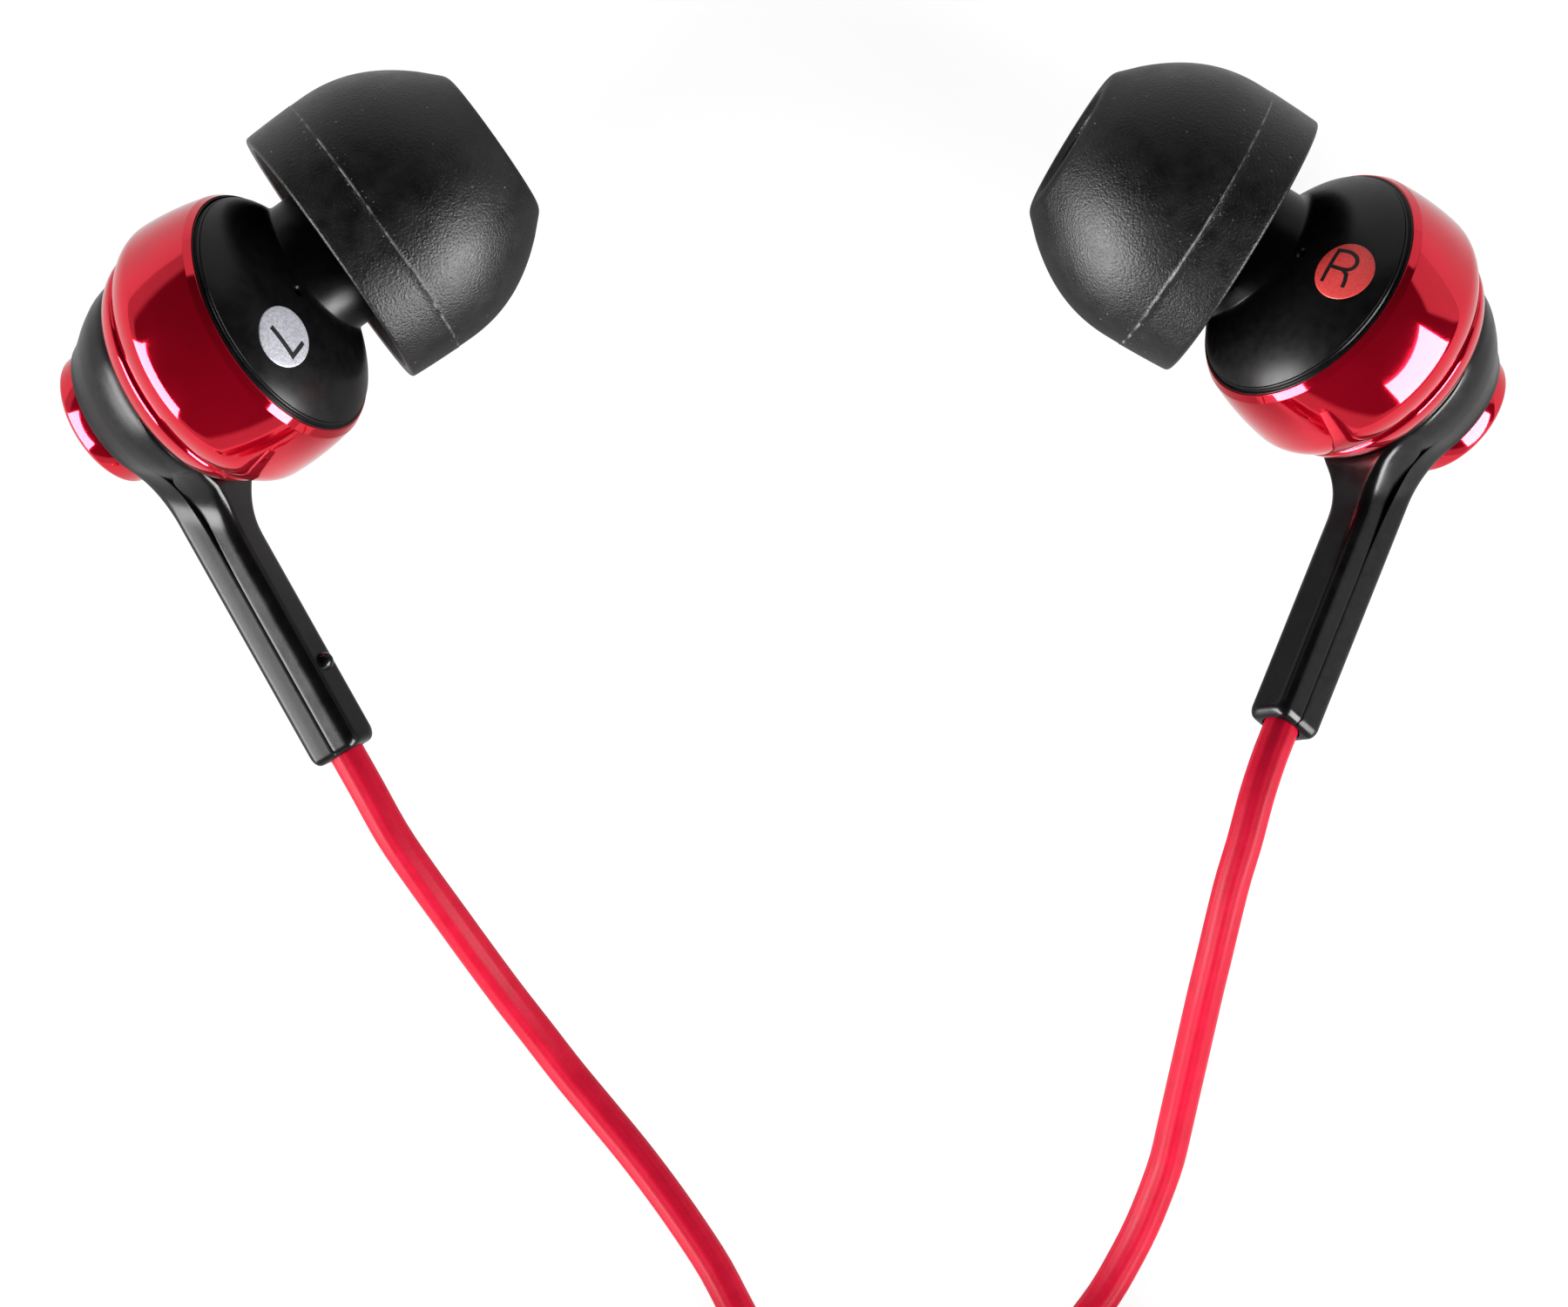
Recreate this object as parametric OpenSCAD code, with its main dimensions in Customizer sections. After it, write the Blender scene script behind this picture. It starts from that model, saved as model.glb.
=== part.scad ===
// Wired in-ear earphones: two dynamic earpieces, a split cord and a stereo plug.
// Millimetres. The pair lies on a table: +Z is up and z = 0 is the table top.
// Each earpiece is drawn in its own frame: +X runs forward along the housing,
// its stem hangs along -Z, and x = 0 is the plane where cover meets barrel ring.
// The right earpiece is the mirror image of the left one.

/* [Driver] */
// Radius of the driver's frame
driver_r = 5.2; // [4.6:0.1:5.6]
// Radius of the voice coil's winding, inside
coil_r = 2.5; // [2:0.1:2.7]
// Thickness of the voice coil's winding
coil_wall = 0.25; // [0.15:0.05:0.35]
// Height of the voice coil's winding
coil_h = 1.3; // [0.9:0.1:1.5]
// Thickness of the magnet
magnet_h = 1.2; // [1:0.05:1.3]
// Thickness of the steel plates round the magnet
plate_h = 0.4; // [0.3:0.05:0.5]
// Air on each side of the voice coil
coil_air = 0.2; // [0.15:0.01:0.3]
// How far the diaphragm moves each way
stroke = 0.2; // [0.1:0.05:0.25]
// Thickness of the diaphragm as modelled
film_h = 0.1; // [0.08:0.01:0.15]

/* [Housing] */
// Width of the ring's front edge, which the cover sits on
rim_seat = 0.5; // [0.4:0.05:0.6]
// Bulge of the barrel ring outside its bore
barrel_bulge = 1; // [0.85:0.05:1.2]
// Length of the barrel ring behind the driver
barrel_skirt = 1.15; // [1:0.05:1.5]
// Height of the front cover's dome
cover_h = 1.9; // [1.7:0.05:2.1]
// Wall of the moulded shells
shell_wall = 0.7; // [0.5:0.05:0.8]
// Depth of the cover's spigot inside the ring
spigot_len = 1.2; // [1:0.1:1.4]
// Glue gap between parts that fit together
fit_gap = 0.05; // [0.03:0.01:0.08]
// Radius of the vent in the front cover
vent_r = 0.2; // [0.15:0.05:0.3]

/* [Rear of the housing] */
// Radius of the bore at the barrel ring's rear
rear_bore_r = 4.5; // [4.3:0.05:4.6]
// Width of the barrel ring's rear face inside its lip
rear_seat = 0.5; // [0.4:0.05:0.6]
// Length of the black rear ring behind the barrel
rear_len = 3.2; // [3:0.1:3.6]
// Radius of the rear ring at its back
rear_end_r = 3.45; // [3.3:0.05:3.6]
// Radius of the red rear cap
cap_r = 3.1; // [2.8:0.05:3.2]
// Thickness of the red rear cap
cap_h = 1.25; // [0.8:0.05:1.5]
// Radius of the rear cap's spigot
cap_spigot_r = 2.3; // [1.8:0.05:2.5]

/* [Nozzle and ear tip] */
// Turn of the nozzle to the side
nozzle_yaw = 30; // [26:1:34]
// Lift of the nozzle away from the stem
nozzle_pitch = 6; // [0:1:12]
// Centre of the ear tip's rim, forward of the rim plane
nozzle_out = 1.76; // [1.7:0.01:2.1]
// Centre of the ear tip's rim, to the side
nozzle_side = 3; // [2.8:0.05:3.2]
// Centre of the ear tip's rim, away from the stem
nozzle_up = 1.13; // [0.8:0.01:1.3]
// Radius of the collar round the nozzle's root
collar_r = 3.2; // [3:0.05:3.4]
// Radius of the nozzle tube
nozzle_r = 2.35; // [2.2:0.05:2.45]
// Radius of the nozzle's retaining lip
lip_r = 2.6; // [2.5:0.02:2.7]
// Length of the nozzle past the ear tip's rim
nozzle_len = 6; // [5:0.1:6.2]
// Wall of the nozzle tube
nozzle_wall = 0.55; // [0.4:0.05:0.6]
// Radius of the ear tip at its rim
tip_rim_r = 6.25; // [5.9:0.05:6.35]
// Largest radius of the ear tip
tip_max_r = 6.35; // [6.25:0.05:6.8]
// Distance from the rim to the ear tip's widest place
tip_max_at = 3; // [2.6:0.1:3.4]
// Radius of the ear tip's nose
tip_nose_r = 3.65; // [3.4:0.05:3.8]
// Length of the ear tip
tip_len = 8.75; // [8.5:0.05:9.2]
// Wall of the ear tip's skirt
tip_wall = 0.8; // [0.6:0.05:1]
// Radius of the ear tip's mouth
mouth_r = 2.2; // [1.8:0.05:2.3]

/* [Stem] */
// Stem's length from the housing's axis to its end
stem_len = 17.75; // [15:0.05:22]
// Stem's depth, along the housing's axis
stem_deep = 2.5; // [2.3:0.05:2.6]
// Stem's width
stem_wide = 2.3; // [2.2:0.05:2.6]
// Depth of the stem's rear strip
strip_h = 1.3; // [1:0.05:1.5]
// Radius of the stem's rounded edges
stem_round = 0.7; // [0.5:0.05:0.9]
// Distance from the stem's end to the nub on the left stem
nub_up = 3.9; // [3:0.1:6]
// Radius of the nub on the left stem
nub_r = 0.4; // [0.3:0.05:0.5]

/* [Cord] */
// Diameter of the cord to each earpiece
branch_d = 1.55; // [1.3:0.05:1.6]
// Diameter of the cord to the plug
main_d = 2; // [1.8:0.05:2]
// Radius of the bore that holds the cord in the stem
cord_bore_r = 0.85; // [0.81:0.01:0.88]
// Radius of the bore that holds the leads in the stem
lead_bore_r = 0.7; // [0.6:0.05:0.8]
// Radius of the crimp on the cord's end
crimp_r = 0.8; // [0.78:0.01:0.8]
// Length of the crimp on the cord's end
crimp_len = 2; // [1.5:0.1:3]
// Diameter of an insulated lead
lead_d = 0.4; // [0.3:0.05:0.45]

/* [Splitter] */
// Length of the splitter
split_len = 12; // [10:0.5:12]
// Width of the splitter
split_wide = 6.4; // [6:0.1:7]
// Height of the splitter
split_high = 4; // [3.6:0.1:4.4]

/* [Plug] */
// Radius of the plug's contacts
pin_r = 1.75; // [1.75]
// Length of the plug's contacts
pin_len = 14; // [14]
// Radius of the plug's grip
grip_r = 3; // [2.8:0.1:3.4]
// Length of the plug's grip
grip_len = 12; // [10:0.5:12]
// Length of the plug's strain relief
relief_len = 8; // [6:0.5:8]
// Radius of the strain relief at its thick end
relief_r = 2.2; // [2:0.1:2.3]

/* [Hidden] */

// Where each earpiece lies: its rim centre, and its roll, pitch and yaw
left_at = [-21.67, 4.35, 8.40];
left_turn = [-92.4, -27.2, 30.5];
right_at = [22.60, 5.55, 8.06];
right_turn = [120.1, -33.3, 139.6];

// Centre of each side marker on the front cover, as [y, z]
left_marker_at = [-3.18, -1.24];
right_marker_at = [-3.50, -0.56];
marker_r = 1.37;
marker_h = 0.3;
vent_at = [-1.05, 0.3];

bore_r = driver_r + fit_gap;
cover_r = bore_r + rim_seat;
barrel_r = bore_r + barrel_bulge;
spigot_r = bore_r - fit_gap;
cavity_r = spigot_r - shell_wall;
dome_power = 2.5;
dome_root = 0.88;

// The driver's stack, from the cover's spigot backwards
guard_h = 0.2;
frame_wall = 0.55;
guard_x = -spigot_len - fit_gap;
frame_x = guard_x - guard_h;
film_r = driver_r - frame_wall - 2 * fit_gap;
film_x = frame_x - 0.65;
coil_x = film_x - film_h;
plate_x = coil_x - stroke - fit_gap;
magnet_x = plate_x - plate_h;
yoke_x = magnet_x - magnet_h;
plate_r = coil_r - coil_air;
cup_r = coil_r + coil_wall + coil_air;
yoke_r = cup_r + 0.3;
basket_x = film_x - stroke - film_h - 2 * fit_gap;
basket_h = 0.6;
board_x = yoke_x - plate_h;
board_h = 0.4;

// Barrel ring's outline, long enough for the driver's stack
shoulder_x = board_x - 0.15;
barrel_len = barrel_skirt - shoulder_x;
barrel_wide_at = 3.5;
front_bevel = 0.3;
front_bevel_drop = 0.15;
lip_len = 0.8;
lip_drop = 0.6;

// The rear ring and its cap
rear_x = -barrel_len;
rear_front_r = rear_bore_r + rear_seat;
rear_spigot_r = rear_bore_r - fit_gap;
rear_spigot_x = shoulder_x - fit_gap;
rear_end_x = rear_x - rear_len;
cap_hole_r = cap_spigot_r + fit_gap;
cap_round = 0.25;

// The stem's pieces; its back is flush with the rear ring's
stem_x = rear_end_x + stem_deep / 2;
seam_x = rear_end_x + strip_h;
cord_end_z = -stem_len + 3;
flare_wide = 5.2;
flare_top = 2.6;
flare_end = 7;
flare_steps = 3;
slice_h = 0.02;
end_round = 0.3;

// Route of the leads, from the terminal board to the cord's crimp
lead_route = [
    [board_x - board_h, 0, 0], [board_x - board_h - 0.4, 0, 0], [board_x - board_h - 0.9, 0, -0.35],
    [stem_x + 1.2, 0, -1.1],
    [stem_x + 0.4, 0, -2.2], [stem_x + 0.05, 0, -3.2], [stem_x, 0, -5], [stem_x, 0, -8.6],
    [stem_x, 0, cord_end_z + crimp_len]
];
lead_space = 0.3;

// Routes of the cords on the table, chosen by hand
left_route = [
    [-20.34, -11.97, 5.43], [-18.86, -14.58, 5.54], [-18.0, -16.1, 5.5], [-16.9, -18.1, 5.2],
    [-15.7, -19.9, 4.6], [-14.5, -21.6, 3.8], [-13.3, -23.3, 2.9], [-12.0, -25.1, 2.0],
    [-10.7, -26.8, 1.35], [-9.4, -28.5, 0.95], [-8.0, -30.2, 0.8], [-6.6, -31.9, 0.78],
    [-5.3, -33.6, 0.78], [-4.1, -35.3, 0.78], [-3.0, -37.0, 0.78], [-2.1, -38.7, 0.78],
    [-0.8, -41.1, 0.78], [0.5, -43.4, 0.78], [1.7, -45.5, 0.78], [2.8, -47.4, 0.78]
];
right_route = [
    [22.32, -10.97, 10.02], [21.27, -13.48, 11.27], [20.75, -14.75, 11.8], [20.2, -16.4, 12.1],
    [19.7, -18.3, 12.0], [19.2, -20.0, 11.6], [18.8, -21.7, 10.9], [18.45, -23.3, 10.0],
    [18.1, -24.9, 8.9], [17.8, -26.4, 7.7], [17.5, -27.9, 6.5], [17.2, -29.4, 5.3],
    [16.9, -30.9, 4.2], [16.6, -32.3, 3.2], [16.1, -33.8, 2.4], [15.5, -35.3, 1.7],
    [14.8, -36.7, 1.2], [14.0, -38.1, 0.9], [12.9, -39.6, 0.8], [11.6, -41.4, 0.78],
    [10.1, -43.6, 0.78], [8.4, -45.95, 0.78]
];
left_tail_route = [
    [4.2, -52.7, 2.33], [4.2, -55.5, 2.2], [4.15, -58.5, 1.9], [4.05, -61.5, 1.8],
    [3.97, -64.5, 1.95], [3.95, -66.8, 2], [3.95, -70, 2]
];
right_tail_route = [
    [6.3, -52.4, 2.33], [6.3, -55.3, 2.2], [6.35, -58.3, 1.9], [6.45, -61.5, 1.8],
    [6.53, -64.5, 1.95], [6.55, -66.8, 2], [6.55, -70, 2]
];
main_route = [
    [5.25, -76, 2], [5.25, -79.5, 2], [5.25, -83, 1.6], [5.25, -86.5, 1.2], [5.25, -89, 1.02], [5.25, -91, 1]
];
main_tail_route = [
    [-8.75, -105, 7], [-11.5, -105.1, 7], [-14.2, -105.2, 6.8], [-16.8, -105.1, 6.2], [-19.4, -104.7, 5.4],
    [-21.8, -103.6, 4.6], [-24, -102, 3.9], [-25.6, -99.8, 3.4], [-26.5, -97.3, 3.1], [-27, -95, 3],
    [-27.3, -93, 3], [-29.1, -81.64, 3]
];
round_sides = 96;
cord_sides = 8;

// Reach of the cutting shapes past the part
clear = 10;

// Where the coils lie, and how they are wound
left_coil_at = [-6.8, -52.7];
right_coil_at = [17.3, -52.4];
branch_coil_r = 11;
branch_turns = 2.5;
branch_layers = 2;
main_coil_at = [-8.75, -91];
main_coil_r = 14;
main_turns = 3;
main_layers = 4;

split_at = [5.25, -67];
split_z = 2.0;
inlet_half = 1.3;

// Where the plug's grip begins, and the way that its contacts point, past the left earpiece
plug_at = [-28.55, -85.1, grip_r];
plug_turn = 99;

// ---------- helpers ----------

module along_x() { rotate([0, 90, 0]) children(); }

// A solid of revolution round +X; points are [radius, x]
module turned(points) { along_x() rotate_extrude($fn = round_sides) polygon(points); }

// A tube round +X between two places
module ring_x(x0, x1, r_out, r_in) {
    turned([[r_in, x0], [r_out, x0], [r_out, x1], [r_in, x1]]);
}

module disc_x(x0, x1, r) { translate([x0, 0, 0]) along_x() cylinder(h = x1 - x0, r = r, $fn = round_sides); }

module on_nozzle() {
    translate([nozzle_out, nozzle_side, nozzle_up]) rotate([0, -nozzle_pitch, nozzle_yaw]) children();
}

module left_ear() { translate(left_at) rotate(left_turn) children(); }

module right_ear() { translate(right_at) rotate(right_turn) mirror([0, 1, 0]) children(); }

// A round tube swept along points, with plain ends
function unit(v) = v / norm(v);
function heading(p, i) =
    unit(p[min(i + 1, len(p) - 1)] - p[max(i - 1, 0)]);
function side_of(h) = unit(cross(h, abs(h[2]) > 0.9 ? [1, 0, 0] : [0, 0, 1]));
module swept(route, d, sides = cord_sides) {
    rings = [
        for (i = [0 : len(route) - 1])
            let (h = heading(route, i), s = side_of(h), u = cross(s, h))
                for (k = [0 : sides - 1])
                    let (a = 360 * k / sides)
                        route[i] + d / 2 * (cos(a) * s + sin(a) * u)
    ];
    last = (len(route) - 1) * sides;
    walls = [
        for (i = [0 : len(route) - 2]) for (k = [0 : sides - 1])
            let (a = i * sides + k, b = i * sides + (k + 1) % sides)
                each [[a, b, b + sides], [a, b + sides, a + sides]]
    ];
    first_end = [[for (k = [sides - 1 : -1 : 0]) k]];
    last_end = [[for (k = [0 : sides - 1]) last + k]];
    polyhedron(rings, concat(walls, first_end, last_end), convexity = 6);
}

// ---------- ear tip and nozzle ----------

function tip_r(t) =
    t < tip_max_at
        ? tip_max_r - (tip_max_r - tip_rim_r) * pow((tip_max_at - t) / tip_max_at, 2)
        : tip_max_r - (tip_max_r - tip_nose_r) * pow((t - tip_max_at) / (tip_len - edge - tip_max_at), 1.9);
edge = 0.2;
sleeve_r = lip_r + fit_gap;
sleeve_wall = 0.8;
sleeve_start = 1.1;
tip_stop = nozzle_len + 0.3;
tip_steps = 12;
hollow_end = tip_len - 2.3;

module ear_tip() {
    outside = [
        for (i = [0 : tip_steps])
            let (t = edge + (tip_len - 2 * edge) * i / tip_steps)
                [tip_r(t), t]
    ];
    inside = [
        for (i = [tip_steps : -1 : 0])
            let (t = edge + (hollow_end - edge) * i / tip_steps)
                [tip_r(t) - tip_wall, t]
    ];
    color("#202022") on_nozzle() turned(concat(
        [[tip_rim_r - edge, 0]], outside, [[tip_nose_r - edge, tip_len]],
        [[mouth_r + edge, tip_len], [mouth_r, tip_len - edge], [mouth_r, tip_stop], [sleeve_r, tip_stop]],
        [[sleeve_r, sleeve_start], [sleeve_r + sleeve_wall, sleeve_start]],
        [[sleeve_r + sleeve_wall, hollow_end - edge], [sleeve_r + sleeve_wall + edge, hollow_end]],
        inside, [[tip_rim_r - tip_wall + edge, 0]]
    ));
}

mesh_h = 0.15;
mesh_seat = 0.35;
mesh_r = nozzle_r - 0.35;
channel_r = nozzle_r - nozzle_wall;

module nozzle_mesh() {
    hole_r = 0.16;
    spacing = 0.62;
    color("#8d8f93") on_nozzle() difference() {
        disc_x(nozzle_len - mesh_seat, nozzle_len - mesh_seat + mesh_h, mesh_r);
        for (i = [-2 : 2]) for (k = [-2 : 2])
            if (abs(i + k) < 3)
                translate([0, (i + k / 2) * spacing, k * spacing * sin(60)])
                    disc_x(nozzle_len - 1, nozzle_len + 1, hole_r);
    }
}

// ---------- front cover ----------

function dome_x(r, rim, high) = high * pow(1 - pow(r / rim, dome_power), dome_root);
function dome(rim, high, steps = 12) = [
    for (i = [0 : steps]) let (r = rim * sin(90 * i / steps)) [r, i == steps ? 0 : dome_x(r, rim, high)]
];

module marker_pocket(at, grow) {
    radius = norm(at);
    drop = 0.3;
    tilt = atan((dome_x(radius - drop, cover_r, cover_h) - dome_x(radius + drop, cover_r, cover_h)) / (2 * drop));
    difference() {
        intersection() {
            turned(dome(cover_r, cover_h));
            rotate([atan2(at[1], at[0]), 0, 0]) translate([dome_x(radius, cover_r, cover_h), radius, 0])
                rotate([0, 0, tilt]) disc_x(-1, 1, marker_r + grow);
        }
        translate([-marker_h - grow, 0, 0]) turned(dome(cover_r, cover_h));
    }
}

module front_cover(marker_at) {
    color("#1a1a1c") difference() {
        union() {
            turned(concat(dome(cover_r, cover_h), [[spigot_r, 0], [spigot_r, -spigot_len], [0, -spigot_len]]));
            // The collar stays inside the cover's rim
            intersection() {
                on_nozzle() disc_x(-4, sleeve_start - 0.1, collar_r);
                disc_x(0, clear, cover_r);
            }
            difference() {
                on_nozzle() turned([
                    [0, -4], [nozzle_r, -4], [nozzle_r, nozzle_len - 1], [lip_r, nozzle_len - 0.8],
                    [lip_r, nozzle_len - 0.3], [nozzle_r, nozzle_len], [0, nozzle_len]
                ]);
                disc_x(-clear, 0, 3 * cover_r);
            }
        }
        turned(concat(dome(cavity_r, cover_h - shell_wall), [[cavity_r, -spigot_len - 1], [0, -spigot_len - 1]]));
        on_nozzle() disc_x(-4, nozzle_len + 1, channel_r);
        on_nozzle() disc_x(nozzle_len - mesh_seat, nozzle_len + 1, mesh_r + fit_gap);
        translate([0, vent_at[0], vent_at[1]]) disc_x(0, cover_h + 1, vent_r);
        marker_pocket(marker_at, fit_gap);
    }
}

module side_marker(at, tone) { color(tone) marker_pocket(at, 0); }

// ---------- barrel ring ----------

function barrel_out(x) =
    x < barrel_wide_at
        ? barrel_r - (barrel_r - cover_r - front_bevel_drop)
            * pow((barrel_wide_at - x) / (barrel_wide_at - front_bevel), 2)
        : barrel_r - (barrel_r - rear_front_r - lip_drop)
            * pow((x - barrel_wide_at) / (barrel_len - lip_len - barrel_wide_at), 2);

module barrel_ring() {
    steps = 12;
    lip_x = barrel_len - lip_len;
    outline = [
        for (i = [0 : steps]) let (x = front_bevel + (lip_x - front_bevel) * i / steps) [barrel_out(x), -x]
    ];
    color("#b3122b") turned(concat(
        [[bore_r, 0], [cover_r, 0]], outline,
        [[rear_front_r + 0.3, -barrel_len + 0.15], [rear_front_r + 0.1, -barrel_len]],
        [[rear_bore_r, -barrel_len], [rear_bore_r, shoulder_x], [bore_r, shoulder_x]]
    ));
}

// ---------- driver ----------

module driver_guard() {
    color("#b8babd") difference() {
        disc_x(guard_x - guard_h, guard_x, driver_r);
        disc_x(guard_x - 1, guard_x + 1, 0.6);
        for (a = [0 : 60 : 300]) rotate([a, 0, 0]) translate([0, 2.2, 0]) disc_x(guard_x - 1, guard_x + 1, 0.5);
    }
}

module driver_frame() {
    rim_bore = driver_r - frame_wall;
    color("#2c2c30") difference() {
        turned([
            [rim_bore, frame_x], [driver_r, frame_x], [driver_r, shoulder_x + fit_gap],
            [rim_bore, shoulder_x + fit_gap], [rim_bore, basket_x - basket_h],
            [yoke_r + fit_gap, basket_x - basket_h], [yoke_r + fit_gap, basket_x], [rim_bore, basket_x]
        ]);
        for (a = [30 : 60 : 330]) rotate([a, 0, 0]) translate([0, (rim_bore + yoke_r) / 2, 0])
            disc_x(basket_x - basket_h - 1, basket_x + 1, 0.35);
    }
}

module diaphragm() {
    dome_r = coil_r + coil_wall;
    rise = 0.35;
    color("#d9c7a8") turned([
        [0, film_x + rise], [dome_r / 2, film_x + 0.75 * rise], [dome_r, film_x],
        [(dome_r + film_r) / 2, film_x + 0.2], [film_r, film_x], [film_r, film_x - film_h],
        [(dome_r + film_r) / 2, film_x + 0.2 - film_h], [dome_r, film_x - film_h], [coil_r, film_x - film_h],
        [dome_r / 2, film_x + 0.75 * rise - film_h], [0, film_x + rise - film_h]
    ]);
}

module voice_coil() { color("#b5651d") ring_x(coil_x - coil_h, coil_x, coil_r + coil_wall, coil_r); }

module top_plate() { color("#a9abae") disc_x(magnet_x, plate_x, plate_r); }

module magnet() { color("#77797d") disc_x(yoke_x, magnet_x, plate_r - 0.05); }

module yoke() {
    color("#9b9da1") turned([
        [0, yoke_x], [cup_r, yoke_x], [cup_r, plate_x], [yoke_r, plate_x], [yoke_r, board_x], [0, board_x]
    ]);
}

module rear_damper() {
    color("#e8e4da") ring_x(basket_x - basket_h - 0.12, basket_x - basket_h,
        driver_r - frame_wall - fit_gap, yoke_r + fit_gap);
}

module terminal_board() {
    color("#1f6b3a") translate([board_x - board_h, -2, -1]) cube([board_h, 4, 2]);
}

module leads() {
    for (side = [-1, 1])
        color(side < 0 ? "#c87f3a" : "#2f8f4e") translate([0, side * lead_space, 0])
            swept(lead_route, lead_d);
}

// ---------- rear housing, stem and cap ----------

module rear_outside() {
    turned([
        [0, rear_x - fit_gap], [rear_front_r, rear_x - fit_gap], [rear_front_r, rear_x - 0.3],
        [rear_front_r - 0.3, rear_x - 1.2], [(rear_front_r + rear_end_r) / 2, rear_x - 2],
        [rear_end_r + 0.15, rear_end_x + 0.3], [rear_end_r, rear_end_x], [0, rear_end_x]
    ]);
}

// The four rounded corners of the stem at a height, drawn in by inset
module stem_corners(z, wide, inset = 0) {
    for (x = [-1, 1]) for (y = [-1, 1])
        translate([stem_x + x * (stem_deep / 2 - inset - stem_round), y * (wide / 2 - inset - stem_round), z])
            cylinder(h = slice_h, r = stem_round, $fn = 32);
}

function flare(i) = stem_wide + (flare_wide - stem_wide) * pow(1 - i / flare_steps, 2);

module stem_body() {
    step = (flare_end - flare_top) / flare_steps;
    for (i = [0 : flare_steps - 1])
        hull() {
            stem_corners(-flare_top - i * step, flare(i));
            stem_corners(-flare_top - (i + 1) * step, flare(i + 1));
        }
    hull() {
        stem_corners(-flare_end, stem_wide);
        stem_corners(-stem_len + end_round, stem_wide);
        stem_corners(-stem_len, stem_wide, end_round);
    }
}

module stem_bores() {
    translate([stem_x, 0, -stem_len - 1]) cylinder(h = 1 + stem_len + cord_end_z + crimp_len, r = cord_bore_r, $fn = 48);
    translate([stem_x, 0, -stem_len]) cylinder(h = stem_len - 2, r = lead_bore_r, $fn = 48);
}

module behind_seam() {
    translate([seam_x - clear, -clear, -stem_len - clear]) cube([clear, 2 * clear, stem_len + 2 * clear]);
}

module rear_housing() {
    color("#232325") difference() {
        union() {
            rear_outside();
            ring_x(rear_x - 0.2, rear_spigot_x, rear_spigot_r, rear_spigot_r - shell_wall);
            intersection() {
                stem_body();
                behind_seam();
            }
        }
        turned([
            [0, rear_x + 3], [rear_spigot_r - shell_wall, rear_x + 3], [rear_spigot_r - shell_wall, rear_x - 0.8],
            [rear_end_r - shell_wall, rear_end_x + shell_wall], [0, rear_end_x + shell_wall]
        ]);
        disc_x(rear_end_x - 1, rear_x, cap_hole_r);
        stem_bores();
    }
}

module stem_shell(with_nub) {
    color("#17171a") difference() {
        union() {
            difference() {
                stem_body();
                behind_seam();
            }
            if (with_nub)
                translate([stem_x + stem_deep / 2, 0, -stem_len + nub_up]) sphere(r = nub_r, $fn = 32);
        }
        rear_outside();
        disc_x(rear_x - fit_gap, 0, barrel_r);
        disc_x(rear_end_x, 0, cap_hole_r);
        stem_bores();
    }
}

module rear_cap() {
    color("#b3122b") turned([
        [0, rear_end_x + shell_wall], [cap_spigot_r, rear_end_x + shell_wall], [cap_spigot_r, rear_end_x],
        [cap_r, rear_end_x], [cap_r, rear_end_x - cap_h + cap_round], [cap_r - 0.1, rear_end_x - cap_h + 0.1],
        [cap_r - cap_round, rear_end_x - cap_h], [0, rear_end_x - cap_h - 0.1]
    ]);
}

module cord_crimp() {
    color("#c9a54a") translate([stem_x, 0, cord_end_z]) cylinder(h = crimp_len, r = crimp_r, $fn = 48);
}

// ---------- cords, coils and splitter ----------

// Outer shape of a coil, as wide and high as its turns
module coil(at, r_out, turns, layers, d) {
    round_r = d / 2;
    r_in = r_out - turns * d;
    color("#c4122f") translate([at[0], at[1], 0]) rotate_extrude($fn = round_sides) polygon([
        [r_in - d / 2, round_r / 2], [r_in - d / 4, 0], [r_out + d / 4, 0], [r_out + d / 2, round_r / 2],
        [r_out + d / 2, layers * d - round_r / 2], [r_out + d / 4, layers * d],
        [r_in - d / 4, layers * d], [r_in - d / 2, layers * d - round_r / 2]
    ]);
}

module cord(route, d) { color("#c4122f") swept(route, d); }

module y_splitter() {
    half = split_wide / 2;
    color("#c4122f") difference() {
        translate([split_at[0], split_at[1], split_z]) hull() {
            for (x = [-1, 1]) translate([x * (half - split_high / 2), 0, 0])
                rotate([90, 0, 0]) cylinder(h = split_len / 2, r = split_high / 2, $fn = 32);
            rotate([90, 0, 0]) cylinder(h = split_len, r = split_high / 2 - 0.3, $fn = 32);
        }
        for (x = [-1, 1]) translate([split_at[0] + x * inlet_half, split_at[1] + 1, split_z])
            rotate([90, 0, 0]) cylinder(h = 4, r = branch_d / 2 + fit_gap, $fn = 32);
        translate([split_at[0], split_at[1] - split_len + 3, split_z])
            rotate([90, 0, 0]) cylinder(h = 4, r = main_d / 2 + fit_gap, $fn = 32);
    }
}

// ---------- plug ----------

module on_plug() { translate(plug_at) rotate([0, 0, plug_turn]) children(); }

rear_gap_at = 6.6;
front_gap_at = 9.8;
gap_len = 0.7;
sleeve_wall_in = 0.55;
core_r = 0.35;
mid_r = 0.6;
bush_r = 0.95;
inner_r = pin_r - sleeve_wall_in;
// The sleeve's tail, held in the grip, is thinner than the contacts outside it
tail_x = grip_len / 2;
tail_r = pin_r - 0.3;
// The tip's neck, its head and its point
neck_r = 1.25;
neck_at = 0.8;
neck_len = 0.3;
head_r = 1.65;
head_at = 1.8;
head_len = 0.5;
point_r = 0.5;

module plug_strain_relief() {
    color("#c4122f") on_plug() turned([
        [main_d / 2 + fit_gap, -relief_len], [main_d / 2 + 0.35, -relief_len], [relief_r, 0],
        [relief_r, 2], [main_d / 2 + fit_gap, 2]
    ]);
}

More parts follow.
